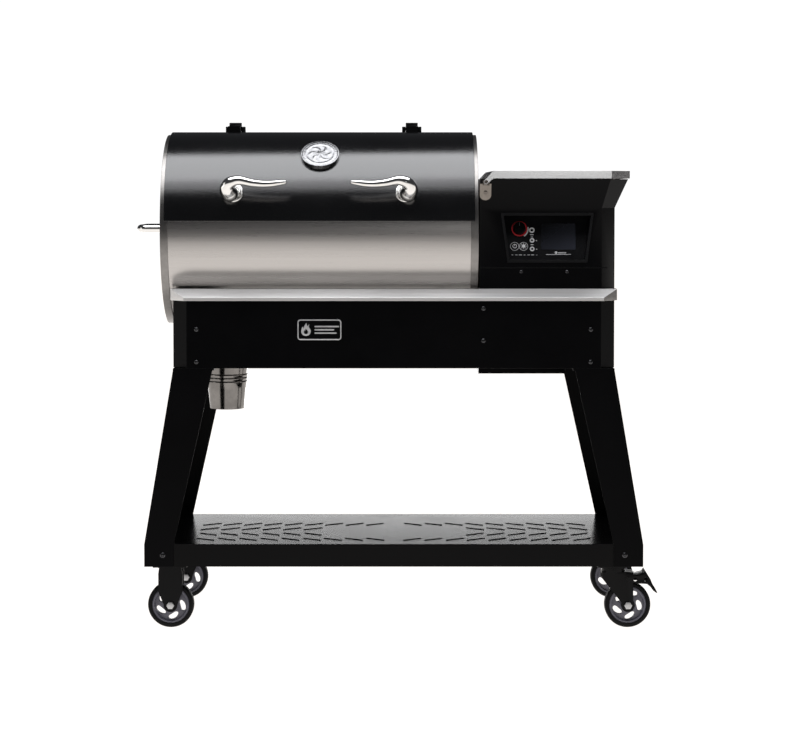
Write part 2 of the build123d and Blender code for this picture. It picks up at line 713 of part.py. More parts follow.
def make_lid_hinges():
    """Two hinges behind the top of the barrel: fixed lugs with a pin, and a strap on the lid between them."""
    brackets = []
    leaves = []
    lug_gap = 16.0
    wide = HINGE_WIDTH / 2
    lug = [
        (HINGE_Y - 9, HINGE_Z + 6),
        (HINGE_Y + 9, HINGE_Z + 6),
        (HINGE_Y + 34, HINGE_Z - 36),
        (HINGE_Y - 9, HINGE_Z - 24),
    ]
    strap = [
        (HINGE_Y - 58, HINGE_Z + 6),
        (HINGE_Y, HINGE_Z + 8),
        (HINGE_Y + 4, HINGE_Z - 6),
        (HINGE_Y - 20, HINGE_Z - 8),
        (HINGE_Y - 58, HINGE_Z - 18),
    ]
    cap = [
        (HINGE_Y - 12, HINGE_Z + 4),
        (HINGE_Y + 7, HINGE_Z + 4),
        (HINGE_Y + 5, HINGE_Z + 16),
        (HINGE_Y - 9, HINGE_Z + 16),
    ]
    for x in HINGE_XS:
        bracket = barrel_sector(SHELL_R + 0.2, SHELL_R + 5, 62, 78, x - wide, x + wide)
        for side in (-1, 1):
            edge = x + side * wide
            low, high = sorted((edge, x + side * lug_gap))
            bracket += along_x(polygon(lug), low, high) - barrel_rod(SHELL_R + 2)
        bracket += rod_x(HINGE_PIN_R, x - lug_gap, x + lug_gap, HINGE_Y, HINGE_Z)
        brackets.append(bracket)
        half = lug_gap - 0.5
        leaf = along_x(polygon(strap), x - half, x + half)
        leaf += rod_x(8.0, x - half, x + half, HINGE_Y, HINGE_Z)
        leaf += along_x(polygon(cap), x - half, x + half)
        leaf -= rod_x(HINGE_PIN_R + 0.06, x - 30, x + 30, HINGE_Y, HINGE_Z)
        leaves.append(leaf - barrel_rod(LID_R + 0.05))
    parts["lid_hinge_brackets"] = group(brackets)
    parts["lid_hinge_leaves"] = group(leaves)


# ---- inside the barrel --------------------------------------------------------------------------------
def grate(x0, x1):
    """A welded cooking grate: an oblong frame and bars across it."""
    y0 = BARREL_Y - 224
    y1 = BARREL_Y + 224
    z0 = GRATE_LOW + GAP
    bar = 6.0
    frame = box(x0, x1, y0, y1, z0, z0 + bar)
    frame -= box(x0 + bar, x1 - bar, y0 + bar, y1 - bar, z0 - 1, z0 + bar + 1)
    count = 11
    step = (x1 - x0 - bar) / (count + 1)
    for i in range(count):
        x = x0 + bar / 2 + step * (i + 1)
        frame += box(x - 2.2, x + 2.2, y0 + bar - 1, y1 - bar + 1, z0 + 1, z0 + bar - 0.6)
    frame += box(x0 + bar - 1, x1 - bar + 1, BARREL_Y - 3, BARREL_Y + 3, z0, z0 + 2)
    return frame


def make_fire_parts():
    """Fire pot, igniter, deflector, drip pan, grates, probe and grease spout."""
    pot = rod_z(POT_R, 740, 862, POT_X, BARREL_Y) - rod_z(POT_R - 3, 700, 870, POT_X, BARREL_Y)
    pot += rod_z(POT_R - 2, 786, 789, POT_X, BARREL_Y)
    pot &= barrel_rod(SHELL_R - SHEET - GAP)
    pot -= rod_x(AUGER_TUBE_R + GAP, POT_X + 20, POT_X + 90, BARREL_Y, AUGER_Z + 10)
    pot -= rod_x(AIR_PIPE_R + GAP, POT_X + 20, POT_X + 90, BARREL_Y, AIR_PIPE_Z)
    igniter_y = BARREL_Y - 38
    pot -= rod_x(5.5, POT_X + 5, POT_X + 90, igniter_y, 800)
    parts["fire_pot"] = pot
    parts["igniter_rod"] = rod_x(5.0, POT_X + 25, POT_X + 150, igniter_y, 800)

    roof = [
        (-130, 876),
        (-60, 902),
        (60, 902),
        (130, 876),
        (130, 873),
        (60, 899),
        (-60, 899),
        (-130, 873),
    ]
    deflector = along_x(polygon(roof), POT_X - 120, POT_X + 120, BARREL_Y, 0)
    for dx in (-110, 106):
        for dy in (-126, 122):
            leg = box(POT_X + dx, POT_X + dx + 4, BARREL_Y + dy, BARREL_Y + dy + 4, 770, 876)
            deflector += leg & barrel_rod(SHELL_R - SHEET - GAP)
    parts["heat_deflector"] = deflector

    pan = Box(PAN_LENGTH, 400, 26) - Pos(0, 0, 2) * Box(PAN_LENGTH - 4, 396, 26)
    pan -= Pos(SPOUT_X - BARREL_MIDDLE, 0, 0) * Box(46, 46, 60)
    parts["drip_pan"] = Pos(BARREL_MIDDLE, BARREL_Y, PAN_MIDDLE_Z) * Rot(0, -PAN_SLOPE, 0) * pan

    left = LID_LEFT + 16
    lefts = [left + i * (GRATE_WIDTH + 2) for i in range(3)]
    parts["cooking_grates"] = group([grate(x, x + GRATE_WIDTH) for x in lefts])

    wall = BARREL_RIGHT - CAP_SHEET
    probe = rod_x(3.0, 100, wall - 2, *PROBE_AT)
    probe += rod_x(12.0, wall - 4, wall - 0.2, *PROBE_AT)
    parts["temperature_probe"] = probe

    spout = rod_z(SPOUT_R, 712, 756, SPOUT_X, BARREL_Y) + rod_z(SPOUT_R + 7, 736, 741, SPOUT_X, BARREL_Y)
    spout -= rod_z(SPOUT_R - 1.5, 700, 770, SPOUT_X, BARREL_Y)
    hook_r = BAIL_WIRE_R + 0.7
    hook = arc_strip(hook_r, hook_r + 2.5, 180, 180)
    x0 = SPOUT_X - 5
    x1 = SPOUT_X + 5
    stem_y = BARREL_Y + hook_r
    wall_y = BARREL_Y + SPOUT_R
    spout += along_x(hook, x0, x1, BARREL_Y, BAIL_TOP_Z)
    spout += box(x0, x1, stem_y, stem_y + 2.5, BAIL_TOP_Z, 706)
    spout += box(x0, x1, stem_y, wall_y - 1, 704, 706.5)
    spout += box(x0, x1, wall_y - 1.4, wall_y + 0.8, 704, 724)
    parts["grease_spout"] = spout


def make_bucket():
    """A tapered pail with three beads and two ears, and the wire bail that it hangs by."""
    top = BUCKET_RIM - BUCKET_FLOOR
    outer = [(0, 0), (BUCKET_BASE_R, 0)]
    slope = (BUCKET_TOP_R - BUCKET_BASE_R) / top
    for z in (72, 80, 88):
        here = BUCKET_BASE_R + slope * z
        outer += [(here, z), (here + 1.6, z + 2.4), (here + slope * 5, z + 5)]
    outer += [(BUCKET_TOP_R - 0.6, top - 5), (BUCKET_TOP_R + 2.0, top - 4), (BUCKET_TOP_R + 2.0, top)]
    inner = [(BUCKET_TOP_R - 1.5, top), (BUCKET_BASE_R - 1.5, 1.5), (0, 1.5)]
    pail = revolve(Plane.XZ * polygon(outer + inner), Axis.Z)
    pail = Pos(SPOUT_X, BARREL_Y, BUCKET_FLOOR) * pail
    pivot_r = BUCKET_TOP_R + 2
    for side in (-1, 1):
        ear_in = SPOUT_X + side * (BUCKET_TOP_R - 2.4)
        ear_out = SPOUT_X + side * (pivot_r + 3)
        pail += rod_x(7.0, *sorted((ear_in, ear_out)), BARREL_Y, BAIL_PIVOT_Z)
        hole_in = SPOUT_X + side * BUCKET_TOP_R
        pail -= rod_x(BAIL_WIRE_R + 0.4, *sorted((hole_in, ear_out + side)), BARREL_Y, BAIL_PIVOT_Z)
    parts["grease_bucket"] = pail

    half = pivot_r + 6.5
    points = [
        (-half + 8, 0, BAIL_PIVOT_Z),
        (-half, 0, BAIL_PIVOT_Z),
        (-half, 0, BAIL_PIVOT_Z + 30),
        (-14, 0, BAIL_TOP_Z),
        (14, 0, BAIL_TOP_Z),
        (half, 0, BAIL_PIVOT_Z + 30),
        (half, 0, BAIL_PIVOT_Z),
        (half - 8, 0, BAIL_PIVOT_Z),
    ]
    path = FilletPolyline(*points, radius=3.2)
    section = Plane(origin=points[0], z_dir=(-1, 0, 0)) * Circle(BAIL_WIRE_R)
    parts["bucket_bail"] = Pos(SPOUT_X, BARREL_Y, 0) * sweep(section, path=path)


# ---- auger drive --------------------------------------------------------------------------------------
def make_drive():
    """The pellet feed and the air supply: auger in its tube, gear motor, blower and its wheel."""
    x0 = POT_X + POT_R + 1
    tube = rod_x(AUGER_TUBE_R, x0, AUGER_END, BARREL_Y, AUGER_Z)
    tube -= rod_x(AUGER_TUBE_R - 2, x0 - 1, AUGER_END + 1, BARREL_Y, AUGER_Z)
    tube -= box(302, 398, BARREL_Y - 20, BARREL_Y + 20, AUGER_Z + 8, AUGER_Z + 40)
    parts["auger_tube"] = tube

    length = AUGER_END - 14 - (x0 + 6)
    turns = int(length // AUGER_PITCH)
    helix = Helix(pitch=AUGER_PITCH, height=AUGER_PITCH * turns, radius=AUGER_R - 7.5)
    start = helix @ 0
    ribbon = Plane(origin=start, x_dir=(1, 0, 0), z_dir=helix % 0) * Rectangle(15, 3)
    flight = sweep(ribbon, path=helix, is_frenet=True)
    flight = Pos(x0 + 8, BARREL_Y, AUGER_Z) * Rot(0, 90, 0) * flight
    screw = rod_x(7.5, x0 + 4, AUGER_END + 4, BARREL_Y, AUGER_Z) + flight
    parts["auger_screw"] = screw

    motor = box(AUGER_END + 8, AUGER_END + 62, BARREL_Y - 34, BARREL_Y + 34, AUGER_Z - 40, AUGER_Z + 30)
    motor += rod_x(26, AUGER_END + 62, AUGER_END + 82, BARREL_Y, AUGER_Z - 8)
    motor += rod_x(9.5, AUGER_END + 5, AUGER_END + 8, BARREL_Y, AUGER_Z)
    parts["auger_motor"] = motor

    half = BLOWER_WIDTH / 2
    housing = rod_x(BLOWER_R, BLOWER_X - half, BLOWER_X + half, BARREL_Y, BLOWER_Z)
    housing -= rod_x(BLOWER_R - 2, BLOWER_X - half + 2, BLOWER_X + half - 2, BARREL_Y, BLOWER_Z)
    housing -= rod_x(22, BLOWER_X + half - 3, BLOWER_X + half + 1, BARREL_Y, BLOWER_Z)
    pipe = rod_x(AIR_PIPE_R, POT_X + POT_R + 1, BLOWER_X, BARREL_Y, AIR_PIPE_Z)
    pipe += rod_z(AIR_PIPE_R, BLOWER_Z + BLOWER_R - 1.5, AIR_PIPE_Z, BLOWER_X, BARREL_Y)
    pipe += Pos(BLOWER_X, BARREL_Y, AIR_PIPE_Z) * Sphere(AIR_PIPE_R)
    housing += pipe
    housing -= rod_x(AIR_PIPE_R - 1.5, POT_X + POT_R, BLOWER_X, BARREL_Y, AIR_PIPE_Z)
    parts["blower_housing"] = housing

    wheel = rod_x(40, BLOWER_X - 16, BLOWER_X + 16, BARREL_Y, BLOWER_Z)
    wheel -= rod_x(33, BLOWER_X - 13, BLOWER_X + 17, BARREL_Y, BLOWER_Z)
    wheel += rod_x(7, BLOWER_X - 20, BLOWER_X + 8, BARREL_Y, BLOWER_Z)
    blade_gap = box(BLOWER_X - 12, BLOWER_X + 12, -1.6, 1.6, 31, 42)
    hub = Pos(0, BARREL_Y, BLOWER_Z)
    gaps = [hub * Rot(360 * i / BLADE_COUNT, 0, 0) * blade_gap for i in range(BLADE_COUNT)]
    parts["blower_wheel"] = wheel - gaps


# ---- hopper -------------------------------------------------------------------------------------------
def hopper_outline(grow=0.0):
    """The hopper's plan below the flare."""
    cut = HOPPER_CORNER
    points = [
        (HOPPER_LEFT, HOPPER_FRONT),
        (HOPPER_RIGHT - cut, HOPPER_FRONT),
        (HOPPER_RIGHT, HOPPER_FRONT + cut),
        (HOPPER_RIGHT, HOPPER_BACK - cut),
        (HOPPER_RIGHT - cut, HOPPER_BACK),
        (HOPPER_LEFT, HOPPER_BACK),
    ]
    return inset(points, -grow)


def flare_outline(grow=0.0):
    """The hopper's plan at its mouth, wider at the front and at the right."""
    right = HOPPER_RIGHT + FLARE_OUT
    front = HOPPER_FRONT - FLARE_OUT
    back_cut = HOPPER_CORNER - 5
    points = [
        (HOPPER_LEFT, front),
        (right - FLARE_CORNER, front),
        (right, front + FLARE_CORNER),
        (right, HOPPER_BACK - back_cut),
        (right - back_cut, HOPPER_BACK),
        (HOPPER_LEFT, HOPPER_BACK),
    ]
    return inset(points, -grow)


def hopper_block(shrink):
    """The hopper's outer form as a solid, with its sides moved inwards by shrink."""
    extra = 1.0 if shrink else 0.0
    lower = along_z(polygon(hopper_outline(-shrink)), HOPPER_LOW - extra, FLARE_LOW)
    sections = [
        Plane.XY.offset(FLARE_LOW) * polygon(hopper_outline(-shrink)),
        Plane.XY.offset(FLARE_TOP) * polygon(flare_outline(-shrink)),
    ]
    upper = loft(sections, ruled=True)
    block = lower + upper
    if shrink:
        block += along_z(polygon(flare_outline(-shrink)), FLARE_TOP, FLARE_TOP + 1)
    return block


def panel_outline(shrink=0.0):
    """The controller recess as seen from the front, counter-clockwise."""
    points = [
        (PANEL_LOW_XS[0], PANEL_LOW),
        (PANEL_LOW_XS[1], PANEL_LOW),
        (PANEL_TOP_XS[1], PANEL_TOP),
        (PANEL_TOP_XS[0], PANEL_TOP),
    ]
    return inset(points, shrink)


def panel_plane(depth=0.0):
    """The controller's face, leaning back. Depth is measured behind it. Local X is X, local Y runs up."""
    turn = math.radians(PANEL_TILT)
    outward = Vector(0, -math.cos(turn), math.sin(turn))
    foot = Vector(0, HOPPER_FRONT + PANEL_DEPTH_LOW, PANEL_LOW)
    return Plane(origin=foot - outward * depth, x_dir=(1, 0, 0), z_dir=outward)


def on_panel(x, z, height=0.0):
    """A location on the controller's face at the given X and Z."""
    turn = math.radians(PANEL_TILT)
    return panel_plane(-height).location * Pos(x, (z - PANEL_LOW) / math.cos(turn), 0)


def panel_slab(shrink, near, far):
    """A slice of the recess, between two depths behind the controller's face."""
    prism = along_y(polygon(panel_outline(shrink)), HOPPER_FRONT - 20, HOPPER_FRONT + 90)
    slab = split(prism, bisect_by=panel_plane(near), keep=Keep.BOTTOM)
    return split(slab, bisect_by=panel_plane(far), keep=Keep.TOP)


def panel_disc(x, z, radius, low, high):
    """A round piece that stands on the controller's face."""
    return extrude(on_panel(x, z, low) * Circle(radius), amount=high - low)


def make_controller():
    """Recess tray, face, screen, jacks, knob and two push-buttons."""
    tray_back = PANEL_SHEET + 5
    prism = along_y(polygon(panel_outline(GAP)), HOPPER_FRONT - 1.5, HOPPER_FRONT + 90)
    block = split(prism, bisect_by=panel_plane(tray_back + 2), keep=Keep.TOP)
    hollow = along_y(polygon(panel_outline(GAP + 2)), HOPPER_FRONT - 20, HOPPER_FRONT + 90)
    hollow = split(hollow, bisect_by=panel_plane(tray_back), keep=Keep.TOP)
    lip = along_y(polygon(panel_outline(-4)), HOPPER_FRONT - 1.5, HOPPER_FRONT - 0.1)
    parts["controller_bezel"] = block + lip - hollow

    face = panel_slab(GAP + 2.2, 0, PANEL_SHEET)
    for x, z in (POWER_AT, LIGHT_AT):
        face -= panel_disc(x, z, 9.8, -10, 5)
    face -= panel_disc(*KNOB_AT, 3.6, -10, 5)
    face += panel_disc(*KNOB_AT, 19.5, -1, 1.6) - panel_disc(*KNOB_AT, 16.5, -2, 3)
    parts["controller_face"] = face

    screen = extrude(on_panel(*SCREEN_AT, 0.1) * RectangleRounded(86, 68, 3), amount=1.4)
    parts["display_screen"] = screen

    jacks = []
    for x, z, radius in JACKS_AT:
        jacks.append(panel_disc(x, z, radius, 0.1, 3) - panel_disc(x, z, radius * 0.36, 1, 4))
    parts["probe_jacks"] = group(jacks)

    knob = panel_disc(*KNOB_AT, 15, 2.4, 15) + panel_disc(*KNOB_AT, 3.0, -7, 4)
    groove = on_panel(*KNOB_AT, 14.4) * Pos(0, 9, 0) * Box(1.6, 10, 1.6)
    parts["control_knob"] = knob - groove
    parts["power_button"] = panel_disc(*POWER_AT, 9.3, -3.0, 2.6)
    parts["light_button"] = panel_disc(*LIGHT_AT, 9.3, -3.0, 2.6)


def inlet_block(half_x, half_z, y0, y1):
    """A block centred on the power inlet."""
    x, z = INLET_AT
    return box(x - half_x, x + half_x, y0, y1, z - half_z, z + half_z)


def make_cabinet():
    """The hopper's painted casing, open at the top, with cut-outs for the ledge, auger, panel and inlet."""
    left = HOPPER_LEFT - 5
    cabinet = hopper_block(0) - hopper_block(SHEET)
    cabinet -= box(left, HOPPER_RIGHT + 50, 0, LEDGE_BACK + 1.5, HOPPER_LOW - 5, LEDGE_TOP + GAP)
    cabinet -= rod_x(AUGER_TUBE_R + 0.6, left, HOPPER_LEFT + 10, BARREL_Y, AUGER_Z)
    cabinet -= along_y(polygon(panel_outline()), HOPPER_FRONT - 5, HOPPER_FRONT + 10)
    cabinet -= inlet_block(14, 11, HOPPER_BACK - 5, HOPPER_BACK + 5)
    parts["hopper_cabinet"] = cabinet


def make_power_inlet():
    """A three-pin mains inlet in the back of the hopper."""
    socket = inlet_block(13.7, 10.7, HOPPER_BACK - 24, HOPPER_BACK + 1)
    socket += inlet_block(24, 14, HOPPER_BACK + 0.1, HOPPER_BACK + 8)
    socket -= inlet_block(11, 8, HOPPER_BACK - 18, HOPPER_BACK + 9)
    for dx, dz in ((-6, 2), (0, -3), (6, 2)):
        x = INLET_AT[0] + dx
        z = INLET_AT[1] + dz
        socket += box(x - 1, x + 1, HOPPER_BACK - 19, HOPPER_BACK - 4, z - 2, z + 2)
    parts["power_inlet"] = socket


def oblong(xs, ys, t):
    """A flat oblong in plan, moved inwards by t."""
    return polygon([
        (xs[0] + t, ys[0] + t),
        (xs[1] - t, ys[0] + t),
        (xs[1] - t, ys[1] - t),
        (xs[0] + t, ys[1] - t),
    ])


def bin_form(t):
    """The pellet bin's form, moved inwards by t: a box over a funnel over a short chute."""
    extra = 1.0 if t else 0.0
    mouth = oblong(BIN_XS, BIN_YS, t)
    throat = oblong(CHUTE_XS, CHUTE_YS, t)
    funnel = loft([Plane.XY.offset(FUNNEL_LOW) * throat, Plane.XY.offset(FUNNEL_TOP) * mouth], ruled=True)
    form = along_z(mouth, FUNNEL_TOP, 1100 + extra) + funnel
    return form + along_z(throat, CHUTE_LOW - extra, FUNNEL_LOW)


def make_bin():
    """The inner bin with its rim flange, and the safety grille across it."""
    flange = hopper_block(SHEET + 0.4) & box(0, 700, -50, 600, 1098, 1100)
    parts["hopper_bin"] = bin_form(0) + flange - bin_form(1.5)

    x0, x1 = BIN_XS
    y0, y1 = BIN_YS
    bars = Part()
    for i in range(10):
        y = y0 + 18 + 33.2 * i
        bars += box(x0 + 1.6, x1 - 1.6, y - 1.5, y + 1.5, GRILLE_LOW, GRILLE_LOW + 3)
    for x in (x0 + 1.6, (x0 + x1) / 2 - 1.5, x1 - 4.6):
        bars += box(x, x + 3, y0 + 1.6, y1 - 1.6, GRILLE_LOW, GRILLE_LOW + 3)
    parts["hopper_grille"] = bars


def make_hopper_lid():
    """A shallow stainless pan with an ear at each left corner, drilled for the hinge pins."""
    t = LID_PAN_SHEET
    low = HOPPER_LID_LOW
    top = HOPPER_LID_TOP
    x = HOPPER_HINGE_X
    z = HOPPER_HINGE_Z
    whole = flare_outline(LID_OVERHANG)
    keep = box(HOPPER_LID_LEFT, 700, -100, 700, low - 5, top + 5)
    hollow_keep = box(HOPPER_LID_LEFT + t, 700, -100, 700, low - 5, top - t)
    pan = along_z(polygon(whole), low, top) & keep
    pan -= along_z(polygon(inset(whole, t)), low - 1, top - t) & hollow_keep
    ear = [
        (HOPPER_LID_LEFT + 1, top),
        (HOPPER_LID_LEFT - 1, top - 0.5),
        (x - 5, z + 3),
        (x + 3, z - 4),
        (HOPPER_LID_LEFT + 1, low + 1),
    ]
    for y in (HOPPER_FRONT - FLARE_OUT - LID_OVERHANG, HOPPER_BACK + LID_OVERHANG - 2):
        pan += along_y(polygon(ear), y, y + 2)
        pan += rod_y(5.5, y, y + 2, x, z)
        pan -= rod_y(HOPPER_PIN_R + 0.06, y - 1, y + 3, x, z)
    parts["hopper_lid"] = pan


def make_hinge_tabs():
    """The fixed tabs that carry the hopper lid's two hinge pins."""
    body = hopper_block(0)
    x = HOPPER_HINGE_X
    z = HOPPER_HINGE_Z
    front = HOPPER_FRONT - FLARE_OUT - LID_OVERHANG
    back = HOPPER_BACK + LID_OVERHANG
    rise = math.degrees(math.atan2(FLARE_OUT, FLARE_TOP - FLARE_LOW))
    tab_z = 1082.0
    tab_y = HOPPER_FRONT - FLARE_OUT * (tab_z - FLARE_LOW) / (FLARE_TOP - FLARE_LOW)
    plate = along_y(Rectangle(28, 30), -2, 0, 0, 7) + rod_y(14, -2, 0, 0, -8)
    plate += Pos(0, -2, -1) * Rot(90, 0, 0) * button_head(5.0, 2.4)
    front_tab = Pos(x - 1, tab_y, tab_z) * Rot(rise, 0, 0) * plate
    front_tab += box(x - 8, x + 8, front + 2.6, front + 14, z - 9, z + 4)
    front_tab += rod_y(HOPPER_PIN_R, front - 0.6, front + 4, x, z)
    front_tab += rod_y(4.5, front - 2.6, front - 0.6, x, z)
    back_tab = along_y(Rectangle(28, 34), HOPPER_BACK, HOPPER_BACK + 1.4, x - 1, z - 17)
    back_tab += rod_y(14, HOPPER_BACK, HOPPER_BACK + 1.4, x - 1, z - 33)
    back_tab += rod_y(7, HOPPER_BACK, HOPPER_BACK + 1.4, x, z)
    back_tab += rod_y(HOPPER_PIN_R, HOPPER_BACK, back + 0.6, x, z)
    back_tab += rod_y(4.5, back + 0.6, back + 2.6, x, z)
    parts["hopper_hinge_tabs"] = group([front_tab - body, back_tab - body])


# ---- build and write ----------------------------------------------------------------------------------
MAKERS = (
    make_skirts,
    make_ledge,
    make_saddles,
    make_legs,
    make_shelf,
    make_screws,
    make_badge,
    make_undertray,
    make_casters,
    make_barrel,
    make_exhaust,
    make_side_handle,
    make_lid,
    make_medallion,
    make_horns,
    make_lid_hinges,
    make_fire_parts,
    make_bucket,
    make_drive,
    make_controller,
    make_cabinet,
    make_power_inlet,
    make_bin,
    make_hopper_lid,
    make_hinge_tabs,
)
for make in MAKERS:
    make()

boxes = [shape.bounding_box() for shape in parts.values()]
low_x = min(b.min.X for b in boxes)
high_x = max(b.max.X for b in boxes)
low_y = min(b.min.Y for b in boxes)
high_y = max(b.max.Y for b in boxes)
low_z = min(b.min.Z for b in boxes)
high_z = max(b.max.Z for b in boxes)
to_origin = Pos(-(low_x + high_x) / 2, -(low_y + high_y) / 2, -low_z)
print("moved by", [round(v, 4) for v in tuple(to_origin.position)])
print("size", [round(v, 2) for v in (high_x - low_x, high_y - low_y, high_z - low_z)])

os.makedirs("parts", exist_ok=True)
for name, shape in parts.items():
    export_step(to_origin * shape, f"parts/{name}.step")
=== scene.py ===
import json
import math

import bmesh
import bpy
from mathutils import Matrix, Vector

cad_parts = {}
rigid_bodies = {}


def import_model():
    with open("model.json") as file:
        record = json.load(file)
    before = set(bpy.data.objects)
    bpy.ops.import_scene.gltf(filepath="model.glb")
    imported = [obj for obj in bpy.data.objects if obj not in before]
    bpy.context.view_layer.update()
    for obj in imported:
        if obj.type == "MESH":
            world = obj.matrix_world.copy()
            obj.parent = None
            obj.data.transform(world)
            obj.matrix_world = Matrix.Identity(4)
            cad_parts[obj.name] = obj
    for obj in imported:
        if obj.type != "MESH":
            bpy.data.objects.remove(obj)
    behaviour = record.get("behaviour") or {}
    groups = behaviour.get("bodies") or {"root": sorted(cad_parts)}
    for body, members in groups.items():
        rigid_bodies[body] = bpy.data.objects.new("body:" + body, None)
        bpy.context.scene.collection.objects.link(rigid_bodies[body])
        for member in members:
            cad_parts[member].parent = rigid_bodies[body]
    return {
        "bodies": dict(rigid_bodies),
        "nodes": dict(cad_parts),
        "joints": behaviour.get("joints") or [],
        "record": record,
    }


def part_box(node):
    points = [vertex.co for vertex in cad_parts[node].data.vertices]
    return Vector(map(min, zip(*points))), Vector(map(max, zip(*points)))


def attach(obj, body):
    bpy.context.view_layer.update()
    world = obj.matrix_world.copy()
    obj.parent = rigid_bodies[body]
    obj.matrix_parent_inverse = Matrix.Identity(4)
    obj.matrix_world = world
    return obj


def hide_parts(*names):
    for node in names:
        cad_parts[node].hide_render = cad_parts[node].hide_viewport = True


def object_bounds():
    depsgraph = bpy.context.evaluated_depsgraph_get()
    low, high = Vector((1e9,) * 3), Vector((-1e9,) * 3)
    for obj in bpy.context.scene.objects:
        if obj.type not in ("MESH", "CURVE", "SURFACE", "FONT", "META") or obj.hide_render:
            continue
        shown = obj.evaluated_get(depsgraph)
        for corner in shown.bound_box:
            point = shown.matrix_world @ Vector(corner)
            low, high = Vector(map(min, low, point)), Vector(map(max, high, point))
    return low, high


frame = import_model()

NODES = frame["nodes"]
JOINTS = {joint["name"]: joint for joint in frame["joints"]}
BODY_OF = {node: body for body, nodes in frame["record"]["behaviour"]["bodies"].items() for node in nodes}
MM = 0.001

# Whatever the file held before the frame came in is cleared away.
kept = set(NODES.values()) | set(frame["bodies"].values())
for extra in [item for item in bpy.data.objects if item not in kept]:
    bpy.data.objects.remove(extra)
cad_low, cad_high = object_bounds()


# ---- places on the grill ------------------------------------------------------------------------------
def middle(node):
    """The middle of a CAD node's box."""
    low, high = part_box(node)
    return (low + high) / 2


def joint_at(name):
    """Where a joint turns."""
    return Vector(JOINTS[name]["pos_m"])


CART_X = middle("front_skirt").x
CART_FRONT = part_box("front_skirt")[0].y
BARREL = middle("end_caps")
LID_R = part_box("barrel_lid")[1].z - BARREL.z
HORN_ANGLE = math.radians(158.0)           # angles about the barrel run from the back, over the top
BOSS = middle("lid_medallion") - BARREL
MEDALLION_RAISE = math.radians(1.2)        # the medallion sits this much further up the lid than in CAD
MEDALLION_ANGLE = math.atan2(BOSS.z, BOSS.y) - MEDALLION_RAISE
PANEL_NORMAL = Vector(JOINTS["knob_turn"]["axis"])
PANEL_UP = PANEL_NORMAL.cross(Vector((1, 0, 0)))
POWER_AT = (-12.0, -43.0)                  # the buttons' places from the knob, in millimetres
LIGHT_AT = (10.0, -43.0)
WHEELS = ("front_left", "rear_left", "front_right", "rear_right")


def frame_on(place, normal, right=(1, 0, 0)):
    """A matrix at a place whose Z points along normal and whose X is near right."""
    z = Vector(normal).normalized()
    y = z.cross(Vector(right)).normalized()
    x = y.cross(z)
    turn = Matrix((x, y, z)).transposed().to_4x4()
    return Matrix.Translation(place) @ turn


def on_panel(dx, dz, lift=0.0):
    """A frame on the controller's face, dx and dz millimetres from the knob as seen from the front."""
    rise = dz * MM / PANEL_UP.z
    place = joint_at("knob_turn") + Vector((dx * MM, 0, 0)) + PANEL_UP * rise + PANEL_NORMAL * lift * MM
    return frame_on(place, PANEL_NORMAL)


# ---- materials ----------------------------------------------------------------------------------------
def node(mat, kind, **values):
    """Adds a shader node and sets its inputs or its settings."""
    made = mat.node_tree.nodes.new("ShaderNode" + kind)
    for key, value in values.items():
        socket = key.replace("_", " ")
        if socket in made.inputs:
            made.inputs[socket].default_value = value
        else:
            setattr(made, key, value)
    return made


def wire(mat, source, out, target, into):
    """Links two nodes."""
    mat.node_tree.links.new(source.outputs[out], target.inputs[into])


def ramp(mat, source, out, stops):
    """A colour ramp over a texture, with stops of (place, grey or colour)."""
    made = node(mat, "ValToRGB")
    marks = made.color_ramp.elements
    while len(marks) < len(stops):
        marks.new(0.5)
    for mark, (place, colour) in zip(marks, stops):
        mark.position = place
        mark.color = (*colour, 1) if isinstance(colour, tuple) else (colour, colour, colour, 1)
    wire(mat, source, out, made, "Fac")
    return made


def surface(name, low, high, rough, metal=0.0, grain=400.0, patch=7.0, stretch=(1, 1, 1), relief=0.2,
            depth=0.2, cells=False, **sockets):
    """A finish whose colour and roughness drift in patches, with a fine grain that gives relief."""
    mat = bpy.data.materials.new(name)
    mat.use_nodes = True
    shader = mat.node_tree.nodes["Principled BSDF"]
    shader.inputs["Metallic"].default_value = metal
    for key, value in sockets.items():
        shader.inputs[key.replace("_", " ")].default_value = value
    place = node(mat, "TexCoord")
    spread = node(mat, "Mapping", Scale=stretch)
    wire(mat, place, "Object", spread, "Vector")
    patches = node(mat, "TexNoise", Scale=patch, Detail=4.0, Roughness=0.6)
    wire(mat, spread, "Vector", patches, "Vector")
    if cells:
        fine = node(mat, "TexVoronoi", Scale=grain)
        fine_out = "Distance"
    else:
        fine = node(mat, "TexNoise", Scale=grain, Detail=3.0, Roughness=0.55)
        fine_out = "Fac"
    wire(mat, spread, "Vector", fine, "Vector")
    colours = ramp(mat, patches, "Fac", ((0.3, low), (0.7, high)))
    wire(mat, colours, "Color", shader, "Base Color")
    blend = node(mat, "Mix", Factor=0.5)
    wire(mat, patches, "Fac", blend, "A")
    wire(mat, fine, fine_out, blend, "B")
    roughness = node(mat, "MapRange")
    for key, value in zip(("From Min", "From Max", "To Min", "To Max"), (0.3, 0.7, *rough)):
        roughness.inputs[key].default_value = value
    wire(mat, blend, "Result", roughness, "Value")
    wire(mat, roughness, "Result", shader, "Roughness")
    bump = node(mat, "Bump", Strength=relief, Distance=depth * MM)
    wire(mat, fine, fine_out, bump, "Height")
    wire(mat, bump, "Normal", shader, "Normal")
    return mat


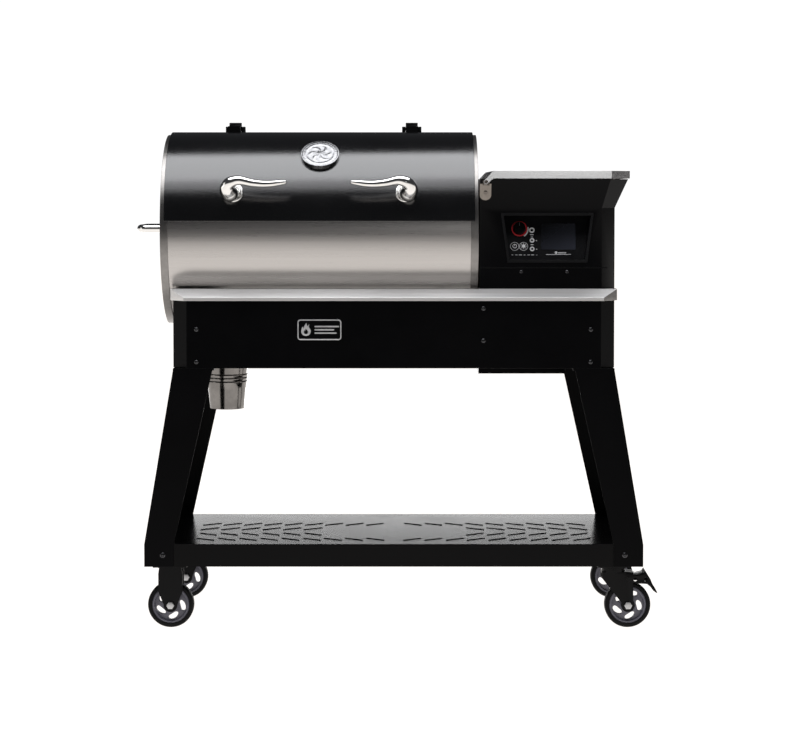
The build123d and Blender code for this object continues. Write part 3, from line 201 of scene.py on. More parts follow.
GRAIN_X = (0.012, 1, 1)
LOOKS = {
    "lid_powder": surface("lid_powder", (0.0006, 0.0006, 0.0008), (0.0012, 0.0012, 0.0015), (0.13, 0.2),
                          grain=300.0, relief=0.85, depth=0.28, Specular_IOR_Level=1.0),
    "satin_black": surface("satin_black", (0.0006, 0.0006, 0.0009), (0.0014, 0.0014, 0.0018), (0.3, 0.42),
                           grain=900.0, relief=0.25, depth=0.08, Specular_IOR_Level=0.06),
    "shelf_black": surface("shelf_black", (0.0008, 0.0008, 0.001), (0.0018, 0.0018, 0.002), (0.16, 0.26),
                           grain=700.0, relief=0.03, depth=0.06, Specular_IOR_Level=0.08),
    "hopper_black": surface("hopper_black", (0.0006, 0.0006, 0.0009), (0.0014, 0.0014, 0.002), (0.26, 0.36),
                            grain=1000.0, relief=0.2, depth=0.06, Specular_IOR_Level=0.08),
    "dark_metal": surface("dark_metal", (0.001, 0.001, 0.0012), (0.003, 0.003, 0.0033), (0.26, 0.38),
                          grain=700.0, relief=0.2, depth=0.1, Specular_IOR_Level=0.12),
    "tab_steel": surface("tab_steel", (0.19, 0.17, 0.15), (0.24, 0.215, 0.19), (0.34, 0.44), metal=1.0,
                         grain=800.0, patch=60.0, relief=0.08, depth=0.04),
    "lid_steel": surface("lid_steel", (0.72, 0.715, 0.71), (0.8, 0.795, 0.79), (0.14, 0.2), metal=1.0,
                         grain=900.0, patch=120.0, stretch=GRAIN_X, relief=0.04, depth=0.02),
    "stainless": surface("stainless", (0.47, 0.45, 0.434), (0.51, 0.489, 0.472), (0.26, 0.31), metal=1.0,
                         grain=900.0, patch=110.0, stretch=GRAIN_X, relief=0.05, depth=0.03),
    "ledge_steel": surface("ledge_steel", (0.77, 0.76, 0.75), (0.83, 0.82, 0.81), (0.42, 0.48), metal=1.0,
                           grain=900.0, patch=120.0, stretch=GRAIN_X, relief=0.05, depth=0.03),
    # A darker copy of ledge_steel: painted shade for the ledge's top faces and right end.
    "ledge_painted_shade": surface("ledge_painted_shade", (0.24, 0.23, 0.222), (0.3, 0.29, 0.28), (0.34, 0.4), metal=1.0,
                         grain=900.0, patch=120.0, stretch=GRAIN_X, relief=0.05, depth=0.03),
    "cap_steel": surface("cap_steel", (0.22, 0.211, 0.203), (0.27, 0.259, 0.249), (0.26, 0.34), metal=1.0,
                         grain=700.0, patch=60.0, relief=0.05, depth=0.03),
    "pail_steel": surface("pail_steel", (0.15, 0.142, 0.134), (0.24, 0.228, 0.217), (0.12, 0.2), metal=1.0,
                          grain=500.0, patch=24.0, relief=0.06, depth=0.05),
    "screw_black": surface("screw_black", (0.05, 0.05, 0.053), (0.09, 0.09, 0.094), (0.22, 0.32), metal=1.0,
                           grain=900.0, patch=200.0, relief=0.1, depth=0.03),
    "bright_steel": surface("bright_steel", (0.42, 0.41, 0.4), (0.5, 0.49, 0.48), (0.08, 0.16), metal=1.0,
                            grain=500.0, patch=30.0, stretch=(1, 1, 0.05), relief=0.06, depth=0.05),
    "chrome": surface("chrome", (0.74, 0.73, 0.71), (0.8, 0.79, 0.77), (0.05, 0.11), metal=1.0, grain=260.0,
                      patch=40.0, relief=0.04, depth=0.05),
    "cast_silver": surface("cast_silver", (0.2, 0.2, 0.205), (0.3, 0.3, 0.305), (0.22, 0.32), metal=1.0,
                           grain=800.0, patch=90.0, relief=0.2, depth=0.06),
    "badge_silver": surface("badge_silver", (0.5, 0.5, 0.51), (0.66, 0.66, 0.67), (0.3, 0.42), metal=0.5,
                            grain=1500.0, patch=90.0, relief=0.1, depth=0.03),
    "zinc": surface("zinc", (0.42, 0.42, 0.43), (0.58, 0.58, 0.58), (0.3, 0.45), metal=1.0, grain=90.0,
                    patch=60.0, relief=0.08, depth=0.05, cells=True),
    "fire_steel": surface("fire_steel", (0.035, 0.026, 0.02), (0.09, 0.075, 0.065), (0.45, 0.7), metal=0.7,
                          grain=300.0, patch=18.0, relief=0.35, depth=0.15),
    "rubber": surface("rubber", (0.0015, 0.0015, 0.0018), (0.004, 0.004, 0.0045), (0.5, 0.66), grain=1200.0,
                      relief=0.2, depth=0.1, Specular_IOR_Level=0.15),
    "core_plastic": surface("core_plastic", (0.1, 0.098, 0.125), (0.15, 0.147, 0.18), (0.34, 0.48),
                            grain=1500.0, patch=25.0, relief=0.12, depth=0.06),
    "panel_plastic": surface("panel_plastic", (0.001, 0.001, 0.0016), (0.003, 0.003, 0.004), (0.3, 0.42),
                             grain=1800.0, patch=20.0, relief=0.12, depth=0.04, Specular_IOR_Level=0.25),
    "print_white": surface("print_white", (0.62, 0.63, 0.65), (0.78, 0.79, 0.8), (0.3, 0.4), grain=2500.0,
                           patch=60.0, relief=0.05, depth=0.02),
    "print_red": surface("print_red", (0.5, 0.02, 0.03), (0.68, 0.04, 0.05), (0.22, 0.32), grain=2500.0,
                         patch=60.0, relief=0.05, depth=0.02),
}


def make_screen_painted_reflection():
    """Dim display glass with a painted reflection that makes it lighter towards its lower right."""
    mat = surface("screen_glass", (0.02, 0.022, 0.03), (0.03, 0.033, 0.043), (0.16, 0.24), grain=3000.0,
                  patch=30.0, relief=0.02, depth=0.01)
    low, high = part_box("display_screen")
    place = node(mat, "TexCoord")
    axes = node(mat, "SeparateXYZ")
    wire(mat, place, "Object", axes, "Vector")
    across = node(mat, "MapRange")
    down = node(mat, "MapRange")
    for ranged, out, start, end in ((across, "X", low.x, high.x), (down, "Z", high.z, low.z)):
        ranged.inputs["From Min"].default_value = start
        ranged.inputs["From Max"].default_value = end
        wire(mat, axes, out, ranged, "Value")
    # Painted reflection: the glass's colour grows lighter towards the right and towards the bottom.
    reflection_amount = node(mat, "Math", operation="MULTIPLY_ADD")
    reflection_amount.inputs[1].default_value = 0.5
    wire(mat, across, "Result", reflection_amount, 0)
    half = node(mat, "Math", operation="MULTIPLY")
    half.inputs[1].default_value = 0.5
    wire(mat, down, "Result", half, 0)
    wire(mat, half, "Value", reflection_amount, 2)
    shade = ramp(mat, reflection_amount, "Value", ((0.1, (0.003, 0.0035, 0.005)), (1.0, (0.03, 0.033, 0.046))))
    wire(mat, shade, "Color", mat.node_tree.nodes["Principled BSDF"], "Base Color")
    return mat


LOOKS["screen_glass"] = make_screen_painted_reflection()


# ---- mesh helpers -------------------------------------------------------------------------------------
def finish_mesh(name, mesh, look, body, sharp=35.0):
    """Turns a bmesh into a piece that rides on a body."""
    bmesh.ops.recalc_face_normals(mesh, faces=mesh.faces)
    data = bpy.data.meshes.new(name)
    mesh.to_mesh(data)
    mesh.free()
    data.shade_smooth()
    data.set_sharp_from_angle(angle=math.radians(sharp))
    data.materials.append(LOOKS[look])
    obj = bpy.data.objects.new(name, data)
    bpy.context.scene.collection.objects.link(obj)
    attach(obj, body)
    return obj


def join(meshes):
    """One bmesh from several."""
    whole = bmesh.new()
    for mesh in meshes:
        scratch = bpy.data.meshes.new("scratch")
        mesh.to_mesh(scratch)
        mesh.free()
        whole.from_mesh(scratch)
        bpy.data.meshes.remove(scratch)
    return whole


def placed(mesh, matrix):
    """The bmesh moved by a matrix."""
    mesh.transform(matrix)
    return mesh


def lathe(profile, segments=72, closed=False):
    """A solid turned about Z. The profile's points are (radius, height) in millimetres."""
    mesh = bmesh.new()
    rings = []
    for radius, height in profile:
        if radius == 0:
            rings.append([mesh.verts.new((0, 0, height * MM))])
            continue
        ring = []
        for i in range(segments):
            turn = 2 * math.pi * i / segments
            x = radius * MM * math.cos(turn)
            y = radius * MM * math.sin(turn)
            ring.append(mesh.verts.new((x, y, height * MM)))
        rings.append(ring)
    pairs = list(zip(rings, rings[1:]))
    if closed:
        pairs.append((rings[-1], rings[0]))
    for low, high in pairs:
        for i in range(segments):
            j = (i + 1) % segments
            corners = [low[i % len(low)], low[j % len(low)], high[j % len(high)], high[i % len(high)]]
            corners = list(dict.fromkeys(corners))
            if len(corners) > 2:
                mesh.faces.new(corners)
    return mesh


def both_sides(half_profile):
    """A lathe's profile with its mirror image below Z = 0."""
    return half_profile + [(r, -z) for r, z in reversed(half_profile)]


def between(p, q, r, s, t):
    """A Catmull-Rom curve's value, t of the way from q to r, where p comes before them and s after."""
    square = (2 * p - 5 * q + 4 * r - s) * t ** 2
    cube = (3 * q - p - 3 * r + s) * t ** 3
    return 0.5 * (2 * q + (r - p) * t + square + cube)


def smooth_line(points, steps=10):
    """Points along a Catmull-Rom curve through the given points, each of any number of values."""
    line = []
    ends = [points[0]] + list(points) + [points[-1]]
    for a, b, c, d in zip(ends, ends[1:], ends[2:], ends[3:]):
        for i in range(steps):
            line.append(tuple(between(*four, i / steps) for four in zip(a, b, c, d)))
    line.append(tuple(points[-1]))
    return line


def tube(stations, sides=28):
    """A round bar through stations of (x, y, z, radius), in metres, closed with a point at each end."""
    places = [Vector(station[:3]) for station in stations]
    mesh = bmesh.new()
    rings = []
    side = None
    for i, place in enumerate(places):
        along = (places[min(i + 1, len(places) - 1)] - places[max(i - 1, 0)]).normalized()
        if side is None:
            side = along.orthogonal().normalized()
        side = (side - along * side.dot(along)).normalized()
        up = along.cross(side)
        ring = []
        for k in range(sides):
            turn = 2 * math.pi * k / sides
            offset = side * math.cos(turn) + up * math.sin(turn)
            ring.append(mesh.verts.new(place + offset * stations[i][3]))
        rings.append(ring)
    for low, high in zip(rings, rings[1:]):
        for k in range(sides):
            mesh.faces.new((low[k], low[(k + 1) % sides], high[(k + 1) % sides], high[k]))
    for ring, place in ((rings[0], places[0]), (rings[-1], places[-1])):
        tip = mesh.verts.new(place)
        for k in range(sides):
            mesh.faces.new((ring[k], ring[(k + 1) % sides], tip))
    return mesh


def plate(outlines, thickness, edge):
    """A flat plate about Z = 0 with holes, in millimetres, its edges rounded by edge."""
    curve = bpy.data.curves.new("outline", "CURVE")
    curve.dimensions = "2D"
    curve.fill_mode = "BOTH"
    curve.extrude = (thickness / 2 - edge) * MM
    curve.bevel_depth = edge * MM
    curve.bevel_resolution = 2
    for outline in outlines:
        spline = curve.splines.new("POLY")
        spline.points.add(len(outline) - 1)
        for point, (x, y) in zip(spline.points, outline):
            point.co = (x * MM, y * MM, 0, 1)
        spline.use_cyclic_u = True
    holder = bpy.data.objects.new("outline", curve)
    bpy.context.scene.collection.objects.link(holder)
    bpy.context.view_layer.update()
    data = bpy.data.meshes.new_from_object(holder)
    mesh = bmesh.new()
    mesh.from_mesh(data)
    bmesh.ops.remove_doubles(mesh, verts=mesh.verts, dist=1e-6)
    bpy.data.objects.remove(holder)
    bpy.data.curves.remove(curve)
    bpy.data.meshes.remove(data)
    return mesh


def circle(radius, count=48, x=0.0, y=0.0):
    """A round outline in millimetres."""
    turns = [2 * math.pi * i / count for i in range(count)]
    return [(x + radius * math.cos(turn), y + radius * math.sin(turn)) for turn in turns]


def hexagon(radius):
    """A hexagon's outline in millimetres."""
    turns = [math.radians(60 * i) for i in range(6)]
    return [(radius * math.cos(turn), radius * math.sin(turn)) for turn in turns]


def arc(inner, outer, start, end, count=24):
    """The outline of part of a ring, between two angles in degrees."""
    turns = [math.radians(start + (end - start) * i / count) for i in range(count + 1)]
    outside = [(outer * math.cos(turn), outer * math.sin(turn)) for turn in turns]
    inside = [(inner * math.cos(turn), inner * math.sin(turn)) for turn in reversed(turns)]
    return outside + inside


def oblong(width, height, radius, x=0.0, y=0.0):
    """A rounded oblong outline in millimetres."""
    points = []
    for corner_x, corner_y, start in ((1, 1, 0), (-1, 1, 90), (-1, -1, 180), (1, -1, 270)):
        for i in range(7):
            turn = math.radians(start + 15 * i)
            px = corner_x * (width / 2 - radius) + radius * math.cos(turn)
            py = corner_y * (height / 2 - radius) + radius * math.sin(turn)
            points.append((x + px, y + py))
    return points


def rounded(name, look, width, segments=2):
    """A copy of a CAD node's folded sheet or bar with its sharp edges rolled over, which stands for it."""
    mesh = bmesh.new()
    mesh.from_mesh(NODES[name].data)
    bmesh.ops.remove_doubles(mesh, verts=mesh.verts, dist=1e-6)
    bmesh.ops.dissolve_limit(mesh, angle_limit=math.radians(0.4), verts=mesh.verts, edges=mesh.edges)
    piece = finish_mesh(name + "_piece", mesh, look, BODY_OF[name])
    bevel = piece.modifiers.new("edges", "BEVEL")
    bevel.width = width * MM
    bevel.segments = segments
    bevel.limit_method = "ANGLE"
    bevel.angle_limit = math.radians(32)
    bevel.harden_normals = True
    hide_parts(name)


def paint_shade_on_top_and_right_end(name, look):
    """Paints shade onto the level faces on top of a piece, and onto its right end, by giving them a second,
    darker material.
    """
    data = bpy.data.objects[name].data
    data.materials.append(LOOKS[look])
    for face in data.polygons:
        if face.normal.z > 0.98 or face.normal.x > 0.3:
            face.material_index = 1


def dress(name, look):
    """Gives a CAD node that keeps its shape its finish."""
    for slot in NODES[name].material_slots:
        slot.material = LOOKS[look]


# ---- floor, light and camera --------------------------------------------------------------------------
def make_floor():
    """A pale floor that glows softly, and gives way to the pale background in front of the grill."""
    mesh = bmesh.new()
    bmesh.ops.create_grid(mesh, x_segments=8, y_segments=8, size=30.0)
    data = bpy.data.meshes.new("floor")
    mesh.to_mesh(data)
    mesh.free()
    floor = bpy.data.objects.new("floor", data)
    bpy.context.scene.collection.objects.link(floor)
    floor.location.z = cad_low.z - 0.0004
    mat = bpy.data.materials.new("pale_floor")
    mat.use_nodes = True
    tree = mat.node_tree
    tree.nodes.remove(tree.nodes["Principled BSDF"])
    place = node(mat, "TexCoord")
    axes = node(mat, "SeparateXYZ")
    wire(mat, place, "Object", axes, "Vector")
    fade = node(mat, "MapRange", interpolation_type="SMOOTHSTEP")
    fade.inputs["From Min"].default_value = CART_FRONT - 7.5
    fade.inputs["From Max"].default_value = CART_FRONT - 0.5
    wire(mat, axes, "Y", fade, "Value")
    speckle = node(mat, "TexNoise", Scale=60.0, Detail=2.0)
    shade = ramp(mat, speckle, "Fac", ((0.3, (0.15, 0.147, 0.144)), (0.7, (0.16, 0.157, 0.154))))
    paper = node(mat, "BsdfDiffuse")
    wire(mat, shade, "Color", paper, "Color")
    glow = node(mat, "Emission", Color=(1.0, 0.965, 0.935, 1), Strength=1.09)
    both = node(mat, "AddShader")
    wire(mat, paper, "BSDF", both, 0)
    wire(mat, glow, "Emission", both, 1)
    clear = node(mat, "BsdfTransparent")
    mixed = node(mat, "MixShader")
    wire(mat, fade, "Result", mixed, "Fac")
    wire(mat, clear, "BSDF", mixed, 1)
    wire(mat, both, "Shader", mixed, 2)
    wire(mat, mixed, "Shader", tree.nodes["Material Output"], "Surface")
    data.materials.append(mat)


def make_world():
    """A white background with a dim studio round the grill."""
    world = bpy.data.worlds.new("studio")
    bpy.context.scene.world = world
    world.use_nodes = True
    tree = world.node_tree
    dim = tree.nodes["Background"]
    dim.inputs["Color"].default_value = (0.9, 0.93, 1.0, 1)
    dim.inputs["Strength"].default_value = 0.05
    white = tree.nodes.new("ShaderNodeBackground")
    white.inputs["Strength"].default_value = 1.05
    white.inputs["Color"].default_value = (1, 1, 1, 1)
    path = tree.nodes.new("ShaderNodeLightPath")
    mixed = tree.nodes.new("ShaderNodeMixShader")
    tree.links.new(path.outputs["Is Camera Ray"], mixed.inputs["Fac"])
    tree.links.new(dim.outputs["Background"], mixed.inputs[1])
    tree.links.new(white.outputs["Background"], mixed.inputs[2])
    tree.links.new(mixed.outputs["Shader"], tree.nodes["World Output"].inputs["Surface"])


def softbox(name, place, aim, width, height, radiance, colour, turn=0.0):
    """A large area light at a place, facing a point."""
    light = bpy.data.lights.new(name, "AREA")
    light.shape = "RECTANGLE"
    light.size = width
    light.size_y = height
    light.energy = radiance * math.pi * width * height
    light.color = colour
    obj = bpy.data.objects.new(name, light)
    bpy.context.scene.collection.objects.link(obj)
    away = Vector(place) - Vector(aim)
    spin = Matrix.Rotation(math.radians(turn), 4, "Z")
    obj.matrix_world = frame_on(place, away) @ spin
    obj.visible_camera = False


def make_lights():
    """A bright softbox over the grill, a dimmer one before it, and cards at the left, behind and in front."""
    cool = (0.965, 0.975, 1.0)
    warm = (1.0, 0.985, 0.96)
    white = (1.0, 1.0, 1.0)
    above = 2.7
    # Seen from the barrel's axis, the two softboxes meet 31 degrees in front of straight up.
    back, seam, front = (BARREL.y + above * math.tan(math.radians(turn)) for turn in (7, -31, -43))
    for name, near, far, radiance in (("top_softbox", seam, back, 4.7), ("top_fill", front, seam, 2.1)):
        centre = Vector((BARREL.x, (near + far) / 2, BARREL.z + above))
        below = centre - Vector((0, 0, 1))
        softbox(name, centre, below, 4.4, far - near, radiance, cool, 11.0)
    place = Vector((CART_X - 3.6, CART_FRONT - 0.6, 1.2))
    softbox("left_card", place, (CART_X, CART_FRONT + 0.2, 0.9), 0.9, 1.8, 1.1, warm)
    place = Vector((CART_X, CART_FRONT + 3.4, 0.35))
    softbox("rear_card", place, (CART_X, CART_FRONT, 0.3), 4.4, 0.56, 3.4, white)
    place = Vector((CART_X + 0.86, CART_FRONT - 6.2, 1.36))
    softbox("front_card", place, (CART_X + 0.4, CART_FRONT, 1.12), 1.2, 0.42, 1.9, white)


def make_camera():
    """The camera stands in front of the cart a little right of its middle, and looks slightly down.
    A small shift keeps the uprights nearly parallel."""
    data = bpy.data.cameras.new("camera")
    camera = bpy.data.objects.new("camera", data)
    bpy.context.scene.collection.objects.link(camera)
    data.sensor_width = 36.0
    data.lens = 99.9
    data.shift_y = -0.1
    camera.location = (CART_X + 0.013, CART_FRONT - 5.418, 1.084)
    camera.rotation_euler = (math.radians(90 - 2.49), 0, 0)
    bpy.context.scene.camera = camera


# ---- pieces -------------------------------------------------------------------------------------------
def make_horns():
    """Two polished horns: each leaves a ringed collar, curls up and over, and tapers inwards."""
    outward = Vector((0, math.cos(HORN_ANGLE), math.sin(HORN_ANGLE)))
    low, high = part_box("horn_handles")
    centre_x = (low.x + high.x) / 2
    collar_inset = 24.5
    reach = (high.x - low.x) / 2 - collar_inset * MM
    collar = [(25, 0), (25.6, 2), (25.6, 4.5), (24.4, 6.6), (22.4, 7.4), (20.6, 6.8), (20, 6), (19.2, 7.4)]
    collar += [(19.4, 9.2), (18.4, 10.6), (16.6, 11), (15, 10.2), (14, 8.6), (0, 8.6)]
    # The bar's stations: towards the other horn, back from the cart's front, above the floor, and radius.
    bar = (
        (-6, 16, 1078, 21), (-10, 6, 1083.5, 20.5), (-12, -4, 1090, 18.5), (-10, -11, 1098, 16.2),
        (-3, -17, 1104.6, 14.2), (8, -20, 1108.6, 12.6), (20, -22, 1109.6, 11.4), (34, -24, 1107, 10.3),
        (48, -24, 1103.9, 9.6), (74, -24, 1101.2, 8.6), (97, -24, 1101.6, 8), (113, -24, 1103.5, 7),
        (127, -23, 1105.3, 5.8), (132, -23, 1105.9, 4.2), (134.4, -23, 1106.2, 1.2),
    )
    meshes = []
    for side in (-1, 1):
        foot = Vector((centre_x + side * reach, BARREL.y, BARREL.z)) + outward * LID_R
        meshes.append(placed(lathe(collar), frame_on(foot - outward * 0.8 * MM, outward)))
        line = [(*(foot + outward * 2 * MM), 17.5 * MM)]
        for dx, y, z, radius in bar:
            along = max(CART_FRONT + y * MM, low.y + (radius + 0.6) * MM)
            line.append((foot.x - side * dx * MM, along, z * MM, radius * MM))
        meshes.append(tube(smooth_line(line, 8), 36))
    piece = finish_mesh("horn_handles_piece", join(meshes), "chrome", "barrel_lid", 50)
    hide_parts("horn_handles")


def rosette(inner, height):
    """A round field at a height, with six bent petals, a hub, a band and fine rays in relief."""
    field = bmesh.new()
    rings = 26
    sides = 144
    last = None
    for i in range(rings + 1):
        r = inner * i / rings
        ring = []
        for k in range(sides):
            turn = 2 * math.pi * k / sides
            petals = max(0.0, math.cos(6 * turn + 2.2 * math.sin(r / 8)))
            body = 1.4 * math.sin(math.pi * min(1.0, r / (inner * 0.72))) * petals
            band = 0.9 * math.exp(-((r - inner * 0.84) / 2.0) ** 2)
            hub = 1.6 * math.exp(-((r / 7.0) ** 2))
            rays = 0.5 * max(0.0, math.cos(36 * turn)) * math.exp(-((r - inner * 0.93) / 1.6) ** 2)
            lift = (height + 0.1 + body + band + hub + rays) * MM if i < rings else (height - 0.5) * MM
            ring.append(field.verts.new((r * MM * math.cos(turn), r * MM * math.sin(turn), lift)))
        if last:
            for k in range(sides):
                field.faces.new((last[k], last[(k + 1) % sides], ring[(k + 1) % sides], ring[k]))
        last = ring
    bmesh.ops.remove_doubles(field, verts=field.verts, dist=1e-7)
    return field


def make_medallion():
    """A round cast boss with a rolled rim round a raised rosette."""
    low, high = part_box("lid_medallion")
    radius = (high.x - low.x) / 2 / MM
    outward = Vector((0, math.cos(MEDALLION_ANGLE), math.sin(MEDALLION_ANGLE)))
    seat = Vector(((low.x + high.x) / 2, BARREL.y, BARREL.z)) + outward * (LID_R - 3 * MM)
    height = 10.0
    profile = [(radius - 1, 0), (radius, 1), (radius, height + 0.6), (radius - 1, height + 1.7)]
    profile += [(radius - 3, height + 2), (radius - 4.6, height + 1.2), (radius - 5.4, height), (0, height)]
    meshes = [placed(lathe(profile, 96), frame_on(seat, outward))]
    meshes.append(placed(rosette(radius - 5.6, height), frame_on(seat, outward)))
    piece = finish_mesh("medallion_piece", join(meshes), "cast_silver", "barrel_lid")
    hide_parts("lid_medallion")


def make_badge():
    """A silver border round the name-plate blank, with a plain flame and three lines on its field."""
    low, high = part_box("badge_plate")
    width = (high.x - low.x) / MM
    height = (high.z - low.z) / MM
    face = frame_on(Vector(((low.x + high.x) / 2, low.y, (low.z + high.z) / 2)), (0, -1, 0))
    border = plate([oblong(width, height, 7), oblong(width - 4.4, height - 4.4, 5)], 0.9, 0.25)
    meshes = [placed(border, face @ Matrix.Translation((0, 0, -0.3 * MM)))]
    flame = [(0, -15), (7, -13), (11, -7), (11, 0), (7, 7), (8, 13), (3, 9), (1, 16)]
    flame += [(-4, 9), (-5, 3), (-8, 7), (-11, 0), (-11, -7), (-7, -13)]
    flame_x = -33
    core_size = 0.45
    outline = [(x + flame_x, y) for x, y in smooth_line(flame + flame[:1], 5)[:-1]]
    hole = [(flame_x + core_size * (x - flame_x), -4 + core_size * y) for x, y in outline]
    inset = face @ Matrix.Translation((0, 0, -0.5 * MM))
    meshes.append(placed(plate([outline, hole], 0.5, 0.12), inset))
    for y, half in ((8, 30), (0, 24), (-8, 27)):
        bar = oblong(2 * half, 3.2, 1.5, -12 + half, y)
        meshes.append(placed(plate([bar], 0.5, 0.12), inset))
    finish_mesh("badge_marks", join(meshes), "badge_silver", "cart")
    rounded("badge_plate", "satin_black", 0.3)


def make_knob():
    """The ribbed knob with its pointer, and the red ring behind it."""
    grip = [(0, 2.4), (15, 2.4), (15.6, 3.4), (15.2, 6), (14.4, 13.4)]
    grip += [(13.6, 14.6), (12, 15), (5.5, 14.6), (0, 14.4)]
    ribs = 30
    knob = lathe(grip, 4 * ribs)
    for vert in knob.verts:
        r = math.hypot(vert.co.x, vert.co.y)
        if r > 12.5 * MM and 4 * MM < vert.co.z < 13 * MM:
            turn = math.atan2(vert.co.y, vert.co.x)
            pinch = 1 - 0.035 * (0.5 + 0.5 * math.cos(ribs * turn))
            vert.co.x *= pinch
            vert.co.y *= pinch
    knob = placed(knob, on_panel(0, 0))
    piece = finish_mesh("knob_piece", knob, "dark_metal", "control_knob")
    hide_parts("control_knob")
    mark = placed(plate([oblong(1.6, 8, 0.7, 0, 8)], 0.5, 0.12), on_panel(0, 0, 15.0))
    finish_mesh("knob_mark", mark, "cast_silver", "control_knob")
    red = placed(plate([circle(19.4), circle(16.8)], 1.0, 0.3), on_panel(0, 0, 1.6))
    finish_mesh("knob_ring", red, "print_red", "cart")


def printed(outlines, dx, dz):
    """A thin mark on the controller's face."""
    return placed(plate(outlines, 0.5, 0.12), on_panel(dx, dz, 0.2))


def make_panel_marks():
    """The white marks round the knob, the buttons, the jacks and the screen."""
    meshes = [printed([arc(20.6, 23.2, -58, 12)], 0, 0)]
    for dx, dz in (POWER_AT, LIGHT_AT):
        meshes.append(printed([circle(10.9), circle(10.0)], dx, dz))
    for dx, dz, radius in ((31, -4, 6.0), (31, -29, 5.0), (31, -50, 5.0)):
        jack_rim = plate([circle(radius + 0.6), circle(radius * 0.62)], 1.2, 0.3)
        meshes.append(placed(jack_rim, on_panel(dx, dz, 2.9)))
    for dx, dz, length in ((31, -14.5, 9), (31, -20, 6), (31, -39, 7), (42, -29, 3), (42, -50, 3)):
        meshes.append(printed([oblong(length, 1.4, 0.6)], dx, dz))
    for i in range(7):
        meshes.append(printed([oblong(4 + (i % 3) * 2, 1.2, 0.5)], -18 + 10 * i, -64))
    screen_dx = (middle("display_screen").x - joint_at("knob_turn").x) / MM
    meshes.append(printed([oblong(62, 1.0, 0.4)], screen_dx, -63))
    meshes.append(printed([circle(3.4, 24)], screen_dx - 6, -58.5))
    meshes.append(printed([oblong(20, 2.2, 1)], screen_dx + 9, -59))
    finish_mesh("panel_marks", join(meshes), "print_white", "cart")


def make_button(name, dx, dz, symbol):
    """A round button with a white symbol of one or more plates."""
    cap = [(0, -3), (9.3, -3), (9.3, 1.4), (8.6, 2.3), (7.4, 2.6), (6.6, 2.3), (0, 2.2)]
    button = placed(lathe(cap), on_panel(dx, dz))
    piece = finish_mesh(name + "_piece", button, "panel_plastic", name)
    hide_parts(name)
    marks = [placed(plate(outlines, 0.4, 0.1), on_panel(dx, dz, 2.5)) for outlines in symbol]
    finish_mesh(name + "_mark", join(marks), "print_white", name)


def make_buttons():
    """The power button with a ring and a bar, and the light button with a disc and rays."""
    make_button("power_button", *POWER_AT, [[circle(5.4), circle(4.2)], [oblong(1.4, 6, 0.6, 0, 3)]])
    rays = [[arc(6, 7.4, 45 * i - 8, 45 * i + 8, 3)] for i in range(8)]
    make_button("light_button", *LIGHT_AT, [[circle(4.4)]] + rays)


def teardrop(turn):
    """A swept opening of a wheel core, at an angle in degrees."""
    points = []
    steps = 18
    for i in range(2 * steps):
        t = i / steps if i < steps else 2 - i / steps
        way = 1 if i < steps else -1
        r = 20.5 + 18.5 * t
        width = 13.2 * math.sin(math.pi * t ** 1.1) ** 0.6
        lean = math.radians(turn) + 0.45 * (1 - t) + way * width / r
        points.append((r * math.cos(lean), r * math.sin(lean)))
    return points


def make_wheel(name):
    """A tyre with rounded shoulders on a five-opening core with a raised hub and rim."""
    core_low, core_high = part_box("wheel_core_" + name)
    tyre_low, tyre_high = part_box("tyre_" + name)
    centre = (tyre_low + tyre_high) / 2
    outer = (tyre_high.z - tyre_low.z) / 2 / MM
    half = (tyre_high.y - tyre_low.y) / 2 / MM
    axle = frame_on(centre, (0, -1, 0))
    body = BODY_OF["wheel_core_" + name]
    seat = 46.4
    side = [(seat, half), (seat + 2.6, half), (outer - 3.2, half - 1.0), (outer - 1.2, half - 3.2)]
    side += [(outer, half - 7.5)]
    groove = [(outer, half - 9.4), (outer - 0.9, half - 9.9)]
    groove += [(outer - 0.9, half - 10.7), (outer, half - 11.2)]
    tyre = placed(lathe(both_sides(side + groove), 112, True), axle)
    piece = finish_mesh(f"tyre_piece_{name}", tyre, "rubber", body)
    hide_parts("tyre_" + name)

    openings = [teardrop(72 * i + 54) for i in range(5)]
    meshes = [plate([circle(41.5, 80)] + openings, 11.0, 0.9)]
    rim = [(39.5, 4), (40.2, 11.5), (41.2, 13.4), (43, 14), (45, 13.6), (seat - 0.1, 12.4)]
    meshes.append(lathe(both_sides(rim), 112, True))
    reach = (core_high.y - core_low.y) / 2 / MM
    hub = [(6.1, reach), (12.6, reach), (13.6, reach - 1), (15, reach - 4), (16.4, 6), (17, 4)]
    meshes.append(lathe(both_sides(hub), 64, True))
    core = placed(join(meshes), axle)
    piece = finish_mesh(f"wheel_core_piece_{name}", core, "core_plastic", body)
    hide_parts("wheel_core_" + name)


def make_axle_heads():
    """Bright hex heads over the ends of each wheel's axle."""
    from_wheel = 25.1
    for name in WHEELS:
        hub = joint_at(name + "_roll")
        row, side = name.split("_")
        body = "cart" if side == "left" else "swivel_" + row
        meshes = []
        for way in (-1, 1):
            axle = frame_on(hub, (0, way, 0))
            head = plate([hexagon(9)], 6.2, 1.0)
            meshes.append(placed(head, axle @ Matrix.Translation((0, 0, from_wheel * MM))))
        finish_mesh("axle_heads_" + name, join(meshes), "zinc", body)


